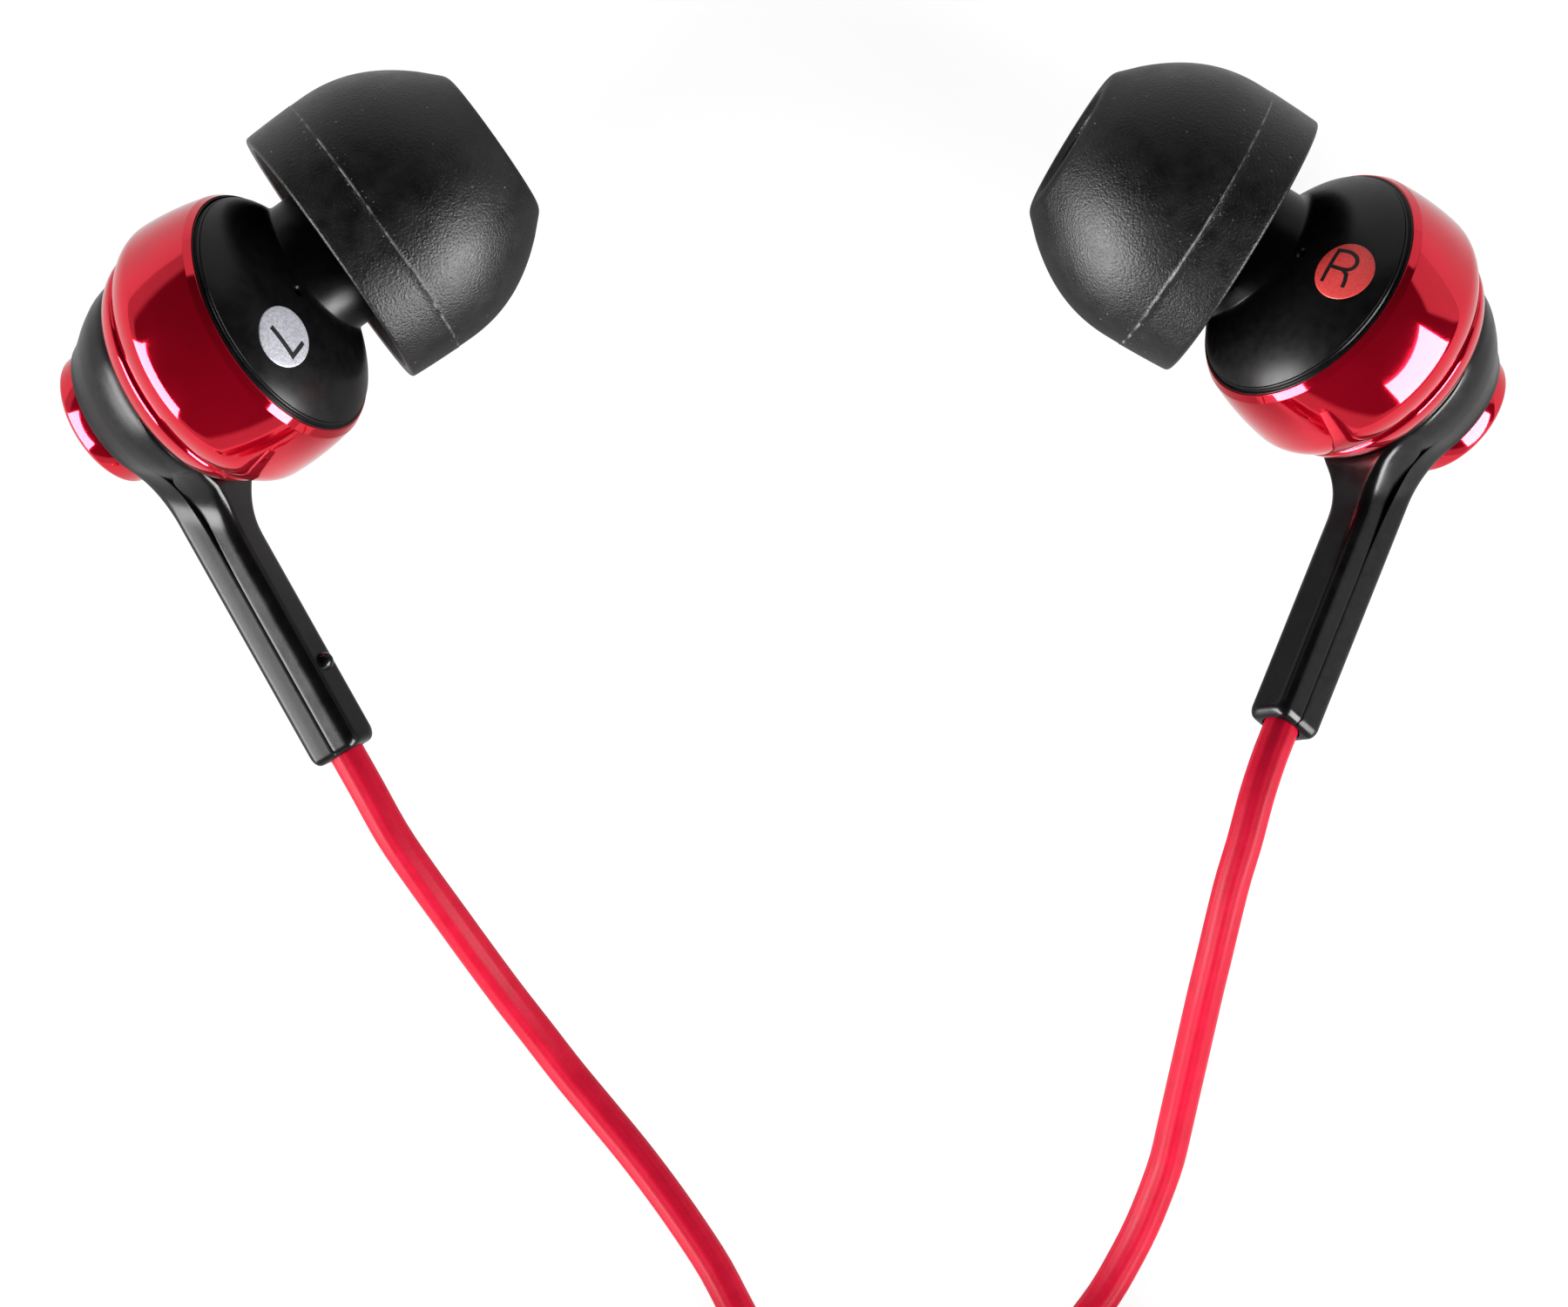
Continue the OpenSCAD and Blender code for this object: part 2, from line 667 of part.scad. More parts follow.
module plug_grip() {
    color("#1c1c1f") on_plug() turned([
        [relief_r, 0], [grip_r - 0.5, 0], [grip_r, 0.6], [grip_r, grip_len - 0.6], [grip_r - 0.5, grip_len],
        [tail_r, grip_len], [tail_r, grip_len - tail_x], [tail_r, 3.5], [main_d / 2 + fit_gap, 3.5],
        [main_d / 2 + fit_gap, 2], [relief_r, 2]
    ]);
}

module on_pin() { on_plug() translate([grip_len, 0, 0]) children(); }

module plug_sleeve() {
    color("#d8b25a") on_pin() turned([
        [inner_r, -tail_x], [tail_r, -tail_x], [tail_r, 0], [pin_r, 0],
        [pin_r, rear_gap_at], [inner_r, rear_gap_at]
    ]);
}

module plug_rear_insulator() {
    color("#18181a") on_pin() turned([
        [bush_r, -tail_x], [inner_r, -tail_x], [inner_r, rear_gap_at], [pin_r, rear_gap_at],
        [pin_r, rear_gap_at + gap_len], [bush_r, rear_gap_at + gap_len]
    ]);
}

module plug_ring() {
    ring_x0 = rear_gap_at + gap_len;
    color("#d8b25a") on_pin() turned([
        [mid_r, -tail_x - 0.6], [bush_r, -tail_x - 0.6], [bush_r, ring_x0], [pin_r, ring_x0],
        [pin_r, front_gap_at], [mid_r, front_gap_at]
    ]);
}

module plug_front_insulator() {
    color("#18181a") on_pin() turned([
        [core_r, -tail_x - 0.6], [mid_r, -tail_x - 0.6], [mid_r, front_gap_at], [pin_r, front_gap_at],
        [pin_r, front_gap_at + gap_len], [core_r, front_gap_at + gap_len]
    ]);
}

module plug_tip() {
    tip_x = front_gap_at + gap_len;
    color("#d8b25a") on_pin() turned([
        [0, -tail_x - 1.2], [core_r, -tail_x - 1.2], [core_r, tip_x], [pin_r, tip_x],
        [neck_r, tip_x + neck_at], [neck_r, tip_x + neck_at + neck_len], [head_r, tip_x + head_at],
        [head_r - 0.1, tip_x + head_at + head_len], [point_r, pin_len - 0.1], [0, pin_len]
    ]);
}

// ---------- the assembly ----------

left_ear() ear_tip();  // left_ear_tip
left_ear() nozzle_mesh();  // left_nozzle_mesh
left_ear() front_cover(left_marker_at);  // left_front_cover
left_ear() side_marker(left_marker_at, "#c9c9d2");  // left_side_marker
left_ear() barrel_ring();  // left_barrel_ring
left_ear() driver_guard();  // left_driver_guard
left_ear() driver_frame();  // left_driver_frame
left_ear() diaphragm();  // left_diaphragm
left_ear() voice_coil();  // left_voice_coil
left_ear() top_plate();  // left_top_plate
left_ear() magnet();  // left_magnet
left_ear() yoke();  // left_yoke
left_ear() rear_damper();  // left_rear_damper
left_ear() terminal_board();  // left_terminal_board
left_ear() leads();  // left_leads
left_ear() rear_housing();  // left_rear_housing
left_ear() stem_shell(true);  // left_stem_shell
left_ear() rear_cap();  // left_rear_cap
left_ear() cord_crimp();  // left_cord_crimp

right_ear() ear_tip();  // right_ear_tip
right_ear() nozzle_mesh();  // right_nozzle_mesh
right_ear() front_cover(right_marker_at);  // right_front_cover
right_ear() side_marker(right_marker_at, "#e23b3b");  // right_side_marker
right_ear() barrel_ring();  // right_barrel_ring
right_ear() driver_guard();  // right_driver_guard
right_ear() driver_frame();  // right_driver_frame
right_ear() diaphragm();  // right_diaphragm
right_ear() voice_coil();  // right_voice_coil
right_ear() top_plate();  // right_top_plate
right_ear() magnet();  // right_magnet
right_ear() yoke();  // right_yoke
right_ear() rear_damper();  // right_rear_damper
right_ear() terminal_board();  // right_terminal_board
right_ear() leads();  // right_leads
right_ear() rear_housing();  // right_rear_housing
right_ear() stem_shell(false);  // right_stem_shell
right_ear() rear_cap();  // right_rear_cap
right_ear() cord_crimp();  // right_cord_crimp

cord(left_route, branch_d);  // left_cord
coil(left_coil_at, branch_coil_r, branch_turns, branch_layers, branch_d);  // left_cord_coil
cord(left_tail_route, branch_d);  // left_cord_tail
cord(right_route, branch_d);  // right_cord
coil(right_coil_at, branch_coil_r, branch_turns, branch_layers, branch_d);  // right_cord_coil
cord(right_tail_route, branch_d);  // right_cord_tail
y_splitter();
cord(main_route, main_d);  // main_cord
coil(main_coil_at, main_coil_r, main_turns, main_layers, main_d);  // main_cord_coil
cord(main_tail_route, main_d);  // main_cord_tail
plug_strain_relief();
plug_grip();
plug_sleeve();
plug_rear_insulator();
plug_ring();
plug_front_insulator();
plug_tip();
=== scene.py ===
import math
import bmesh
import bpy
from mathutils import Euler, Matrix, Vector


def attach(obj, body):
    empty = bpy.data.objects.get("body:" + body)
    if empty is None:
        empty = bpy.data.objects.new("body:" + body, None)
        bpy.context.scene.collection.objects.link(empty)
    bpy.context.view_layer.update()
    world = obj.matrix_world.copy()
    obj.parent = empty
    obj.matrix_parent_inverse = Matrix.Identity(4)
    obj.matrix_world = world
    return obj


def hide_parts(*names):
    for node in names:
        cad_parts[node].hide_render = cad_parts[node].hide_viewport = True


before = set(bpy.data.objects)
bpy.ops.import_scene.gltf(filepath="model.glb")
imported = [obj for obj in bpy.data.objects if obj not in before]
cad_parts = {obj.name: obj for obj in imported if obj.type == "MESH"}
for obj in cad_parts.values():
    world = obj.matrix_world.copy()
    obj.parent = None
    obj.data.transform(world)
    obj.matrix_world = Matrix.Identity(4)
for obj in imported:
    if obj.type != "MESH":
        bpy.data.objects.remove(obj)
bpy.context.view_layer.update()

# Sizes are in millimetres. Each earpiece is drawn in its own frame, as in the CAD source:
# +X runs forward along the housing, and the stem hangs along -Z. The right one is a mirror image.
MM = 0.001

# ---------- sizes of the construction ----------

LEFT_AT = (-21.67, 4.35, 8.40)
LEFT_TURN = (-92.4, -27.2, 30.5)
RIGHT_AT = (22.60, 5.55, 8.06)
RIGHT_TURN = (120.1, -33.3, 139.6)

BORE_R = 5.25
COVER_R = 5.75
BARREL_R = 6.25
BARREL_LEN = 5.75
SHOULDER_X = -4.6
COVER_H = 1.9
SPIGOT_R = 5.2
SPIGOT_LEN = 1.2
CAVITY_R = 4.5
SHELL_WALL = 0.7

NOZZLE_AT = (1.76, 3, 1.13)
NOZZLE_YAW = 30
NOZZLE_PITCH = 6
NOZZLE_LEN = 6
NOZZLE_R = 2.35
CHANNEL_R = 1.8
LIP_R = 2.6
COLLAR_R = 3.2
COLLAR_TOP = 1.0

TIP_RIM_R = 6.25
TIP_MAX_R = 6.35
TIP_MAX_AT = 3
TIP_NOSE_R = 3.65
TIP_LEN = 8.75
TIP_POWER = 2.2
TIP_WALL = 0.8
TIP_SEAM_AT = 2.4
MOUTH_R = 2.2
SLEEVE_R = 2.65

REAR_FRONT_X = -5.8
REAR_END_X = -8.95
REAR_END_R = 3.45
CAP_R = 3.1
CAP_SPIGOT_R = 2.3

STEM_LEN = 17.75
STEM_WIDE = 2.3
STEM_CORNER = 0.4
STEM_X = -7.70
STEM_FRONT_X = -6.45
SEAM_X = -7.63
STEM_FLARE_R = 4
CORD_BORE_R = 0.85
NUB_UP = 3.9
NUB_R = 0.4

MARKER_R = 1.37
LEFT_MARKER_AT = (-3.18, -1.24)
RIGHT_MARKER_AT = (-3.50, -0.56)
VENT_AT = (-1.05, 0.3)
VENT_R = 0.2

BRANCH_D = 1.55
MAIN_D = 2

# ---------- small helpers ----------


def ear_place(at, turn, mirrored):
    """From an earpiece's own frame, in millimetres, to the pair's frame, in metres."""
    turned_by = Euler([math.radians(a) for a in turn], "XYZ").to_matrix().to_4x4()
    flip = Matrix.Scale(-1, 4, (0, 1, 0)) if mirrored else Matrix.Identity(4)
    return Matrix.Scale(MM, 4) @ Matrix.Translation(at) @ turned_by @ flip


SIDES = {"left": ear_place(LEFT_AT, LEFT_TURN, False), "right": ear_place(RIGHT_AT, RIGHT_TURN, True)}
NOZZLE = (
    Matrix.Translation(NOZZLE_AT)
    @ Matrix.Rotation(math.radians(NOZZLE_YAW), 4, "Z")
    @ Matrix.Rotation(math.radians(-NOZZLE_PITCH), 4, "Y")
)


def smooth_step(value, low, high):
    """0 below low, 1 above high and an even curve between them."""
    t = min(max((value - low) / (high - low), 0), 1)
    return t * t * (3 - 2 * t)


def curve_through(points, at):
    """The smooth curve through (place, value) points, which are in falling order of place."""
    points = [points[0], *points, points[-1]]
    for before, left, right, after in zip(points, points[1:], points[2:], points[3:]):
        if at >= right[0]:
            break
    span = right[0] - left[0]
    if not span:
        return left[1]
    t = min(max((at - left[0]) / span, 0), 1)
    slope_left = (right[1] - before[1]) / (right[0] - before[0]) * span
    slope_right = (after[1] - left[1]) / (after[0] - left[0]) * span
    cube, square = t ** 3, t * t
    return (
        (2 * cube - 3 * square + 1) * left[1]
        + (cube - 2 * square + t) * slope_left
        + (3 * square - 2 * cube) * right[1]
        + (cube - square) * slope_right
    )


def rounded(points, arc_steps=5):
    """An outline's points. A third number on a point rounds that corner to this radius."""
    found = []
    for i, point in enumerate(points):
        corner = Vector(point[:2])
        if len(point) < 3:
            found.append(corner)
            continue
        back = Vector(points[i - 1][:2]) - corner
        ahead = Vector(points[(i + 1) % len(points)][:2]) - corner
        half = back.angle(ahead) / 2
        reach = min(point[2] / math.tan(half), 0.48 * back.length, 0.48 * ahead.length)
        radius = reach * math.tan(half)
        back.normalize()
        ahead.normalize()
        centre = corner + (back + ahead).normalized() * radius / math.sin(half)
        start = corner + back * reach - centre
        end = corner + ahead * reach - centre
        for k in range(arc_steps + 1):
            found.append(centre + start.lerp(end, k / arc_steps).normalized() * radius)
    return found


def turned(points, steps=128):
    """A bmesh turned round the X axis from (radius, x) points, closed at the axis or as a ring."""
    bm = bmesh.new()
    verts = [bm.verts.new((p[1], p[0], 0)) for p in points]
    edges = [bm.edges.new(pair) for pair in zip(verts, verts[1:])]
    if points[0][0] > 0 or points[-1][0] > 0:
        edges.append(bm.edges.new((verts[-1], verts[0])))
    bmesh.ops.spin(
        bm, geom=verts + edges, cent=(0, 0, 0), axis=(1, 0, 0), angle=math.tau, steps=steps, use_merge=True
    )
    bmesh.ops.remove_doubles(bm, verts=bm.verts, dist=1e-4)
    bmesh.ops.recalc_face_normals(bm, faces=bm.faces)
    return bm


def moved(bm, matrix):
    """The same bmesh after a transform."""
    bmesh.ops.transform(bm, matrix=matrix, verts=bm.verts)
    return bm


def rod(radius, start, end, steps=48):
    """A plain round cutter along +X."""
    return turned([(0, start), (radius, start), (radius, end), (0, end)], steps)


def loose_object(bm, name="loose"):
    mesh = bpy.data.meshes.new(name)
    bm.to_mesh(mesh)
    bm.free()
    found = bpy.data.objects.new(name, mesh)
    bpy.context.scene.collection.objects.link(found)
    return found


def carved(bm, how, *tools):
    """The bmesh after each tool is taken out of it, joined to it or kept in common with it."""
    target = loose_object(bm)
    helpers = [loose_object(tool) for tool in tools]
    for helper in helpers:
        change = target.modifiers.new("carve", "BOOLEAN")
        change.operation = how
        change.solver = "EXACT"
        change.object = helper
    shaped = target.evaluated_get(bpy.context.evaluated_depsgraph_get()).to_mesh()
    result = bmesh.new()
    result.from_mesh(shaped)
    for item in [target, *helpers]:
        bpy.data.objects.remove(item)
    return result


def skin(bm, rows, closed):
    """Quads between rows of points; each row is a loop if closed is true."""
    rings = [[bm.verts.new(p) for p in row] for row in rows]
    for low, high in zip(rings, rings[1:]):
        count = len(low) if closed else len(low) - 1
        for k in range(count):
            following = (k + 1) % len(low)
            bm.faces.new((low[k], low[following], high[following], high[k]))
    return rings


def finished(name, bm, place, body, slot, nodes, look=None, crease=32):
    """One finished piece: in place, facing outwards, smooth, and riding on its body.

    Its look is the one named after its slot, if no other is named. The crease is in degrees.
    """
    moved(bm, place)
    bmesh.ops.recalc_face_normals(bm, faces=bm.faces)
    mesh = bpy.data.meshes.new(name)
    bm.to_mesh(mesh)
    bm.free()
    mesh.materials.append(LOOKS[look or slot])
    mesh.shade_smooth()
    mesh.set_sharp_from_angle(angle=math.radians(crease))
    piece = bpy.data.objects.new(name, mesh)
    bpy.context.scene.collection.objects.link(piece)
    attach(piece, body)
    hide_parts(*nodes)
    return piece


# ---------- effects shared by the finishes ----------


def new_group(name, inputs, outputs):
    group = bpy.data.node_groups.new(name, "ShaderNodeTree")
    for kind, label in inputs:
        group.interface.new_socket(label, in_out="INPUT", socket_type=kind)
    for kind, label in outputs:
        group.interface.new_socket(label, in_out="OUTPUT", socket_type=kind)
    return group, group.nodes.new("NodeGroupInput"), group.nodes.new("NodeGroupOutput")


def add_node(tree, kind, **values):
    """A shader node with its settings; a key that names an input socket sets that socket."""
    node = tree.nodes.new(kind)
    for key, value in values.items():
        if hasattr(node, key):
            setattr(node, key, value)
        else:
            node.inputs[key.replace("_", " ")].default_value = value
    return node


def math_node(tree, operation, first, second=0.0):
    """A Math node between sockets or plain numbers; gives its value socket."""
    node = tree.nodes.new("ShaderNodeMath")
    node.operation = operation
    for socket, value in zip(node.inputs, (first, second)):
        if isinstance(value, (int, float)):
            socket.default_value = value
        else:
            tree.links.new(value, socket)
    return node.outputs[0]


def range_node(tree, value, low, high, to_low=0.0, to_high=1.0, smooth=False):
    """Carries a value from one range to another, without leaving it."""
    node = tree.nodes.new("ShaderNodeMapRange")
    node.interpolation_type = "SMOOTHSTEP" if smooth else "LINEAR"
    tree.links.new(value, node.inputs["Value"])
    for label, number in zip(("From Min", "From Max", "To Min", "To Max"), (low, high, to_low, to_high)):
        node.inputs[label].default_value = number
    return node.outputs["Result"]


def noise_node(tree, vector, scale, detail=2.0, roughness=0.5):
    node = add_node(tree, "ShaderNodeTexNoise", Detail=detail, Roughness=roughness)
    tree.links.new(vector, node.inputs["Vector"])
    if isinstance(scale, (int, float)):
        node.inputs["Scale"].default_value = scale
    else:
        tree.links.new(scale, node.inputs["Scale"])
    return node.outputs["Fac"]


def grain_group():
    """Moulded grain: a fine height, and a broader mottle round 0.5."""
    group, given, out = new_group(
        "moulded grain",
        [("NodeSocketVector", "Vector"), ("NodeSocketFloat", "Grains per metre")],
        [("NodeSocketFloat", "Height"), ("NodeSocketFloat", "Mottle")],
    )
    fine = noise_node(group, given.outputs["Vector"], given.outputs["Grains per metre"], 3.0, 0.6)
    broad_scale = math_node(group, "MULTIPLY", given.outputs["Grains per metre"], 0.13)
    broad = noise_node(group, given.outputs["Vector"], broad_scale, 4.0, 0.55)
    group.links.new(fine, out.inputs["Height"])
    group.links.new(broad, out.inputs["Mottle"])
    return group


def dust_group():
    """Specks of dust: a mask of small bright dots, more or fewer by Amount."""
    group, given, out = new_group(
        "dust specks",
        [
            ("NodeSocketVector", "Vector"), ("NodeSocketFloat", "Specks per metre"),
            ("NodeSocketFloat", "Amount"),
        ],
        [("NodeSocketFloat", "Mask")],
    )
    cells = add_node(group, "ShaderNodeTexVoronoi", feature="F1")
    group.links.new(given.outputs["Vector"], cells.inputs["Vector"])
    group.links.new(given.outputs["Specks per metre"], cells.inputs["Scale"])
    core = range_node(group, cells.outputs["Distance"], 0.09, 0.22, 1.0, 0.0)
    chance = add_node(group, "ShaderNodeSeparateColor")
    group.links.new(cells.outputs["Color"], chance.inputs["Color"])
    picked = math_node(group, "LESS_THAN", chance.outputs[0], given.outputs["Amount"])
    group.links.new(math_node(group, "MULTIPLY", core, picked), out.inputs["Mask"])
    return group


GRAIN = grain_group()
DUST = dust_group()


def new_look(name, **settings):
    """A material with its Principled shader; constants go straight on the shader's sockets."""
    look = bpy.data.materials.new(name)
    look.use_nodes = True
    tree = look.node_tree
    shader = tree.nodes["Principled BSDF"]
    for key, value in settings.items():
        shader.inputs[key.replace("_", " ")].default_value = value
    place = tree.nodes.new("ShaderNodeTexCoord").outputs["Object"]
    return look, tree, shader, place


def grain_in(tree, place, grains_per_metre):
    node = tree.nodes.new("ShaderNodeGroup")
    node.node_tree = GRAIN
    node.inputs["Grains per metre"].default_value = grains_per_metre
    tree.links.new(place, node.inputs["Vector"])
    return node.outputs["Height"], node.outputs["Mottle"]


def dust_in(tree, place, specks_per_metre, amount):
    node = tree.nodes.new("ShaderNodeGroup")
    node.node_tree = DUST
    node.inputs["Specks per metre"].default_value = specks_per_metre
    node.inputs["Amount"].default_value = amount
    tree.links.new(place, node.inputs["Vector"])
    return node.outputs["Mask"]


def bump_in(tree, shader, height, depth, strength=1.0):
    node = add_node(tree, "ShaderNodeBump", Strength=strength, Distance=depth)
    tree.links.new(height, node.inputs["Height"])
    tree.links.new(node.outputs["Normal"], shader.inputs["Normal"])


def blend_colour(tree, factor, first, second):
    """The mix of two colours, given as numbers or as sockets."""
    node = tree.nodes.new("ShaderNodeMix")
    node.data_type = "RGBA"
    tree.links.new(factor, node.inputs[0])
    for socket, value in ((node.inputs[6], first), (node.inputs[7], second)):
        if isinstance(value, bpy.types.NodeSocket):
            tree.links.new(value, socket)
        else:
            socket.default_value = (*value, 1)
    return node.outputs[2]


def grained_look(name, dark, light, rough, grains, depth, **settings):
    """A finish with a fine grain, and a colour and roughness that vary a little."""
    look, tree, shader, place = new_look(name, **settings)
    height, mottle = grain_in(tree, place, grains)
    spread = range_node(tree, mottle, 0.3, 0.7)
    tree.links.new(blend_colour(tree, spread, dark, light), shader.inputs["Base Color"])
    tree.links.new(range_node(tree, mottle, 0.3, 0.7, rough[0], rough[1]), shader.inputs["Roughness"])
    bump_in(tree, shader, height, depth)
    return look, tree, shader, place


# ---------- the finishes ----------


def silicone_look():
    """Soft dark silicone with a fine grain, and dust along the mould's parting line."""
    look, tree, shader, place = grained_look(
        "silicone", (0.0024, 0.0024, 0.0026), (0.006, 0.006, 0.0063), (0.30, 0.40), 8500, 0.000036,
        Specular_IOR_Level=0.38
    )
    along = add_node(tree, "ShaderNodeAttribute", attribute_name="past_seam")
    away = math_node(tree, "ABSOLUTE", along.outputs["Fac"])
    near = range_node(tree, away, 0.03, 0.075, 1.0, 0.0, smooth=True)
    patchy = range_node(tree, noise_node(tree, place, 1500, 4.0), 0.48, 0.66)
    patches = math_node(tree, "ADD", math_node(tree, "MULTIPLY", patchy, 0.75), 0.03)
    line = math_node(tree, "MULTIPLY", near, patches)
    close = range_node(tree, away, 0.1, 0.9, 1.0, 0.0, smooth=True)
    specks = math_node(tree, "MULTIPLY", dust_in(tree, place, 6500, 0.2), close)
    stray = math_node(tree, "MULTIPLY", dust_in(tree, place, 3600, 0.035), 0.55)
    dust = math_node(tree, "MAXIMUM", math_node(tree, "MAXIMUM", line, specks), stray)
    base = shader.inputs["Base Color"].links[0].from_socket
    tree.links.new(blend_colour(tree, dust, base, (0.16, 0.16, 0.15)), shader.inputs["Base Color"])
    return look


def marker_look(name, dark, light, metallic):
    """Printed disc: a flat colour with the sparkle of fine flakes."""
    look, tree, shader, place = new_look(name, Metallic=metallic, Roughness=0.42)
    flakes = add_node(tree, "ShaderNodeTexVoronoi", Scale=15000.0)
    tree.links.new(place, flakes.inputs["Vector"])
    tone = add_node(tree, "ShaderNodeSeparateColor")
    tree.links.new(flakes.outputs["Color"], tone.inputs["Color"])
    tree.links.new(blend_colour(tree, tone.outputs[0], dark, light), shader.inputs["Base Color"])
    bump_in(tree, shader, flakes.outputs["Distance"], 0.000002, 0.5)
    return look


def grained_looks():
    """The finishes that need no more than a grain.

    Each row gives the dark and the light colour, the roughness, the grains per metre, their depth and
    the shader's other settings.
    """
    satin = {"Specular_IOR_Level": 0.24}
    shiny = {"Specular_IOR_Level": 0.3}
    soft = {"Specular_IOR_Level": 0.15}
    bright = {"Metallic": 1.0}
    # Clear red lacquer over bright metallising
    candy = {"Metallic": 0.88, "Coat_Weight": 0.6, "Coat_Roughness": 0.03, "Coat_IOR": 1.5}
    rows = {
        "satin_black": ((0.002, 0.002, 0.0024), (0.004, 0.004, 0.0044), (0.27, 0.33), 16000, 2e-6, satin),
        "stem_black": ((0.0015, 0.0015, 0.0018), (0.003, 0.003, 0.0034), (0.2, 0.27), 9000, 1.8e-6, shiny),
        "candy_red": ((0.66, 0.003, 0.022), (0.76, 0.005, 0.030), (0.05, 0.09), 2200, 4e-7, candy),
        "cord": ((0.30, 0.0004, 0.013), (0.36, 0.0006, 0.018), (0.42, 0.5), 7000, 6e-6, soft),
        "red_rubber": ((0.30, 0.001, 0.014), (0.36, 0.002, 0.019), (0.42, 0.52), 6000, 6e-6, {}),
        "printed_ink": ((0.004, 0.004, 0.005), (0.008, 0.008, 0.009), (0.35, 0.45), 12000, 2e-6, {}),
        "mesh_steel": ((0.42, 0.42, 0.43), (0.55, 0.55, 0.56), (0.28, 0.38), 9000, 3e-6, bright),
        "steel": ((0.48, 0.48, 0.49), (0.58, 0.58, 0.59), (0.30, 0.42), 7000, 3e-6, bright),
        "driver_plastic": ((0.02, 0.02, 0.024), (0.035, 0.035, 0.04), (0.45, 0.6), 8000, 4e-6, {}),
        "film": ((0.62, 0.53, 0.38), (0.72, 0.62, 0.47), (0.22, 0.32), 5000, 2e-6, {}),
        "winding": ((0.42, 0.16, 0.05), (0.62, 0.27, 0.09), (0.25, 0.4), 14000, 8e-6, {"Metallic": 0.8}),
        "magnet": ((0.55, 0.55, 0.56), (0.66, 0.66, 0.67), (0.14, 0.22), 5000, 1e-6, bright),
        "damper_felt": ((0.66, 0.63, 0.57), (0.82, 0.79, 0.73), (0.85, 0.95), 11000, 3e-5, {}),
        "board": ((0.03, 0.17, 0.08), (0.05, 0.25, 0.12), (0.35, 0.5), 6000, 4e-6, {}),
        "lead_insulation": ((0.42, 0.20, 0.07), (0.52, 0.27, 0.10), (0.35, 0.45), 9000, 3e-6, {}),
        "crimp_brass": ((0.62, 0.42, 0.14), (0.74, 0.52, 0.20), (0.26, 0.38), 8000, 3e-6, bright),
        "gold_contact": ((0.86, 0.58, 0.22), (0.94, 0.68, 0.30), (0.10, 0.17), 7000, 1e-6, bright),
        "insulator": ((0.006, 0.006, 0.007), (0.012, 0.012, 0.013), (0.32, 0.42), 9000, 3e-6, {}),
    }
    return {name: grained_look(name, *row[:5], **row[5])[0] for name, row in rows.items()}


LOOKS = grained_looks()
LOOKS["silicone"] = silicone_look()
LOOKS["marker_left"] = marker_look("marker_left", (0.34, 0.34, 0.38), (0.54, 0.54, 0.59), 0.35)
LOOKS["marker_right"] = marker_look("marker_right", (0.52, 0.033, 0.033), (0.60, 0.055, 0.05), 0.0)

# ---------- ear tip ----------


def tip_radius(t):
    """Outer radius of the ear tip at a distance from its rim."""
    if t < TIP_MAX_AT:
        return TIP_MAX_R - (TIP_MAX_R - TIP_RIM_R) * ((TIP_MAX_AT - t) / TIP_MAX_AT) ** 2
    past_widest = (t - TIP_MAX_AT) / (TIP_LEN - 0.2 - TIP_MAX_AT)
    return TIP_MAX_R - (TIP_MAX_R - TIP_NOSE_R) * past_widest ** TIP_POWER


def ear_tip():
    """Hollow silicone tip: outer skirt, rounded nose, mouth and the sleeve that grips the nozzle."""
    seam_step = 0.012
    hollow_end = TIP_LEN - 2.3
    nose_start = TIP_LEN - 0.75
    steps = 34
    outside = [(5.72, 0.06, 0.05), (TIP_RIM_R - 0.01, 0, 0.16)]
    for i in range(1, 7):
        t = TIP_SEAM_AT * i / 7
        outside.append((tip_radius(t), t))
    outside += [
        (tip_radius(TIP_SEAM_AT) + 0.004, TIP_SEAM_AT - 0.03),
        (tip_radius(TIP_SEAM_AT) + 0.018, TIP_SEAM_AT),
        (tip_radius(TIP_SEAM_AT) - seam_step, TIP_SEAM_AT + 0.04),
    ]
    for i in range(1, steps):
        t = TIP_SEAM_AT + (nose_start - TIP_SEAM_AT) * i / steps
        outside.append((tip_radius(t) - seam_step * (1 - i / steps), t))
    nose = [
        (TIP_NOSE_R - 0.2, TIP_LEN, 0.75), (MOUTH_R + 0.35, TIP_LEN, 0.2), (MOUTH_R, TIP_LEN - 0.25, 0.1),
    ]
    inside = [
        (MOUTH_R, NOZZLE_LEN + 0.3), (SLEEVE_R, NOZZLE_LEN + 0.3), (SLEEVE_R, 1.1),
        (SLEEVE_R + TIP_WALL, 1.1, 0.2), (SLEEVE_R + TIP_WALL, hollow_end, 0.35),
    ]
    for i in range(12, 0, -1):
        t = 0.4 + (hollow_end - 0.5) * i / 12
        inside.append((tip_radius(t) - TIP_WALL, t))
    bm = turned(rounded(outside + nose + inside), 160)
    past_seam = bm.verts.layers.float.new("past_seam")
    for vert in bm.verts:
        outer = Vector(vert.co.yz).length > tip_radius(max(vert.co.x, 0.001)) - 0.3
        vert[past_seam] = vert.co.x - TIP_SEAM_AT if outer else 9.0
    return moved(bm, NOZZLE)


# ---------- front cover ----------


def dome_x(radius, rim=COVER_R, high=COVER_H):
    """Height of the cover's dome at a distance from the housing's axis."""
    return high * max(1 - (radius / rim) ** 2.5, 0) ** 0.88


def dome_outline(rim, high, last, steps=30):
    """Points of the dome from its edge at radius last up to the axis."""
    found = []
    for i in range(steps, -1, -1):
        radius = last * math.sin(math.pi / 2 * i / steps)
        found.append((radius, dome_x(radius, rim, high)))
    return found


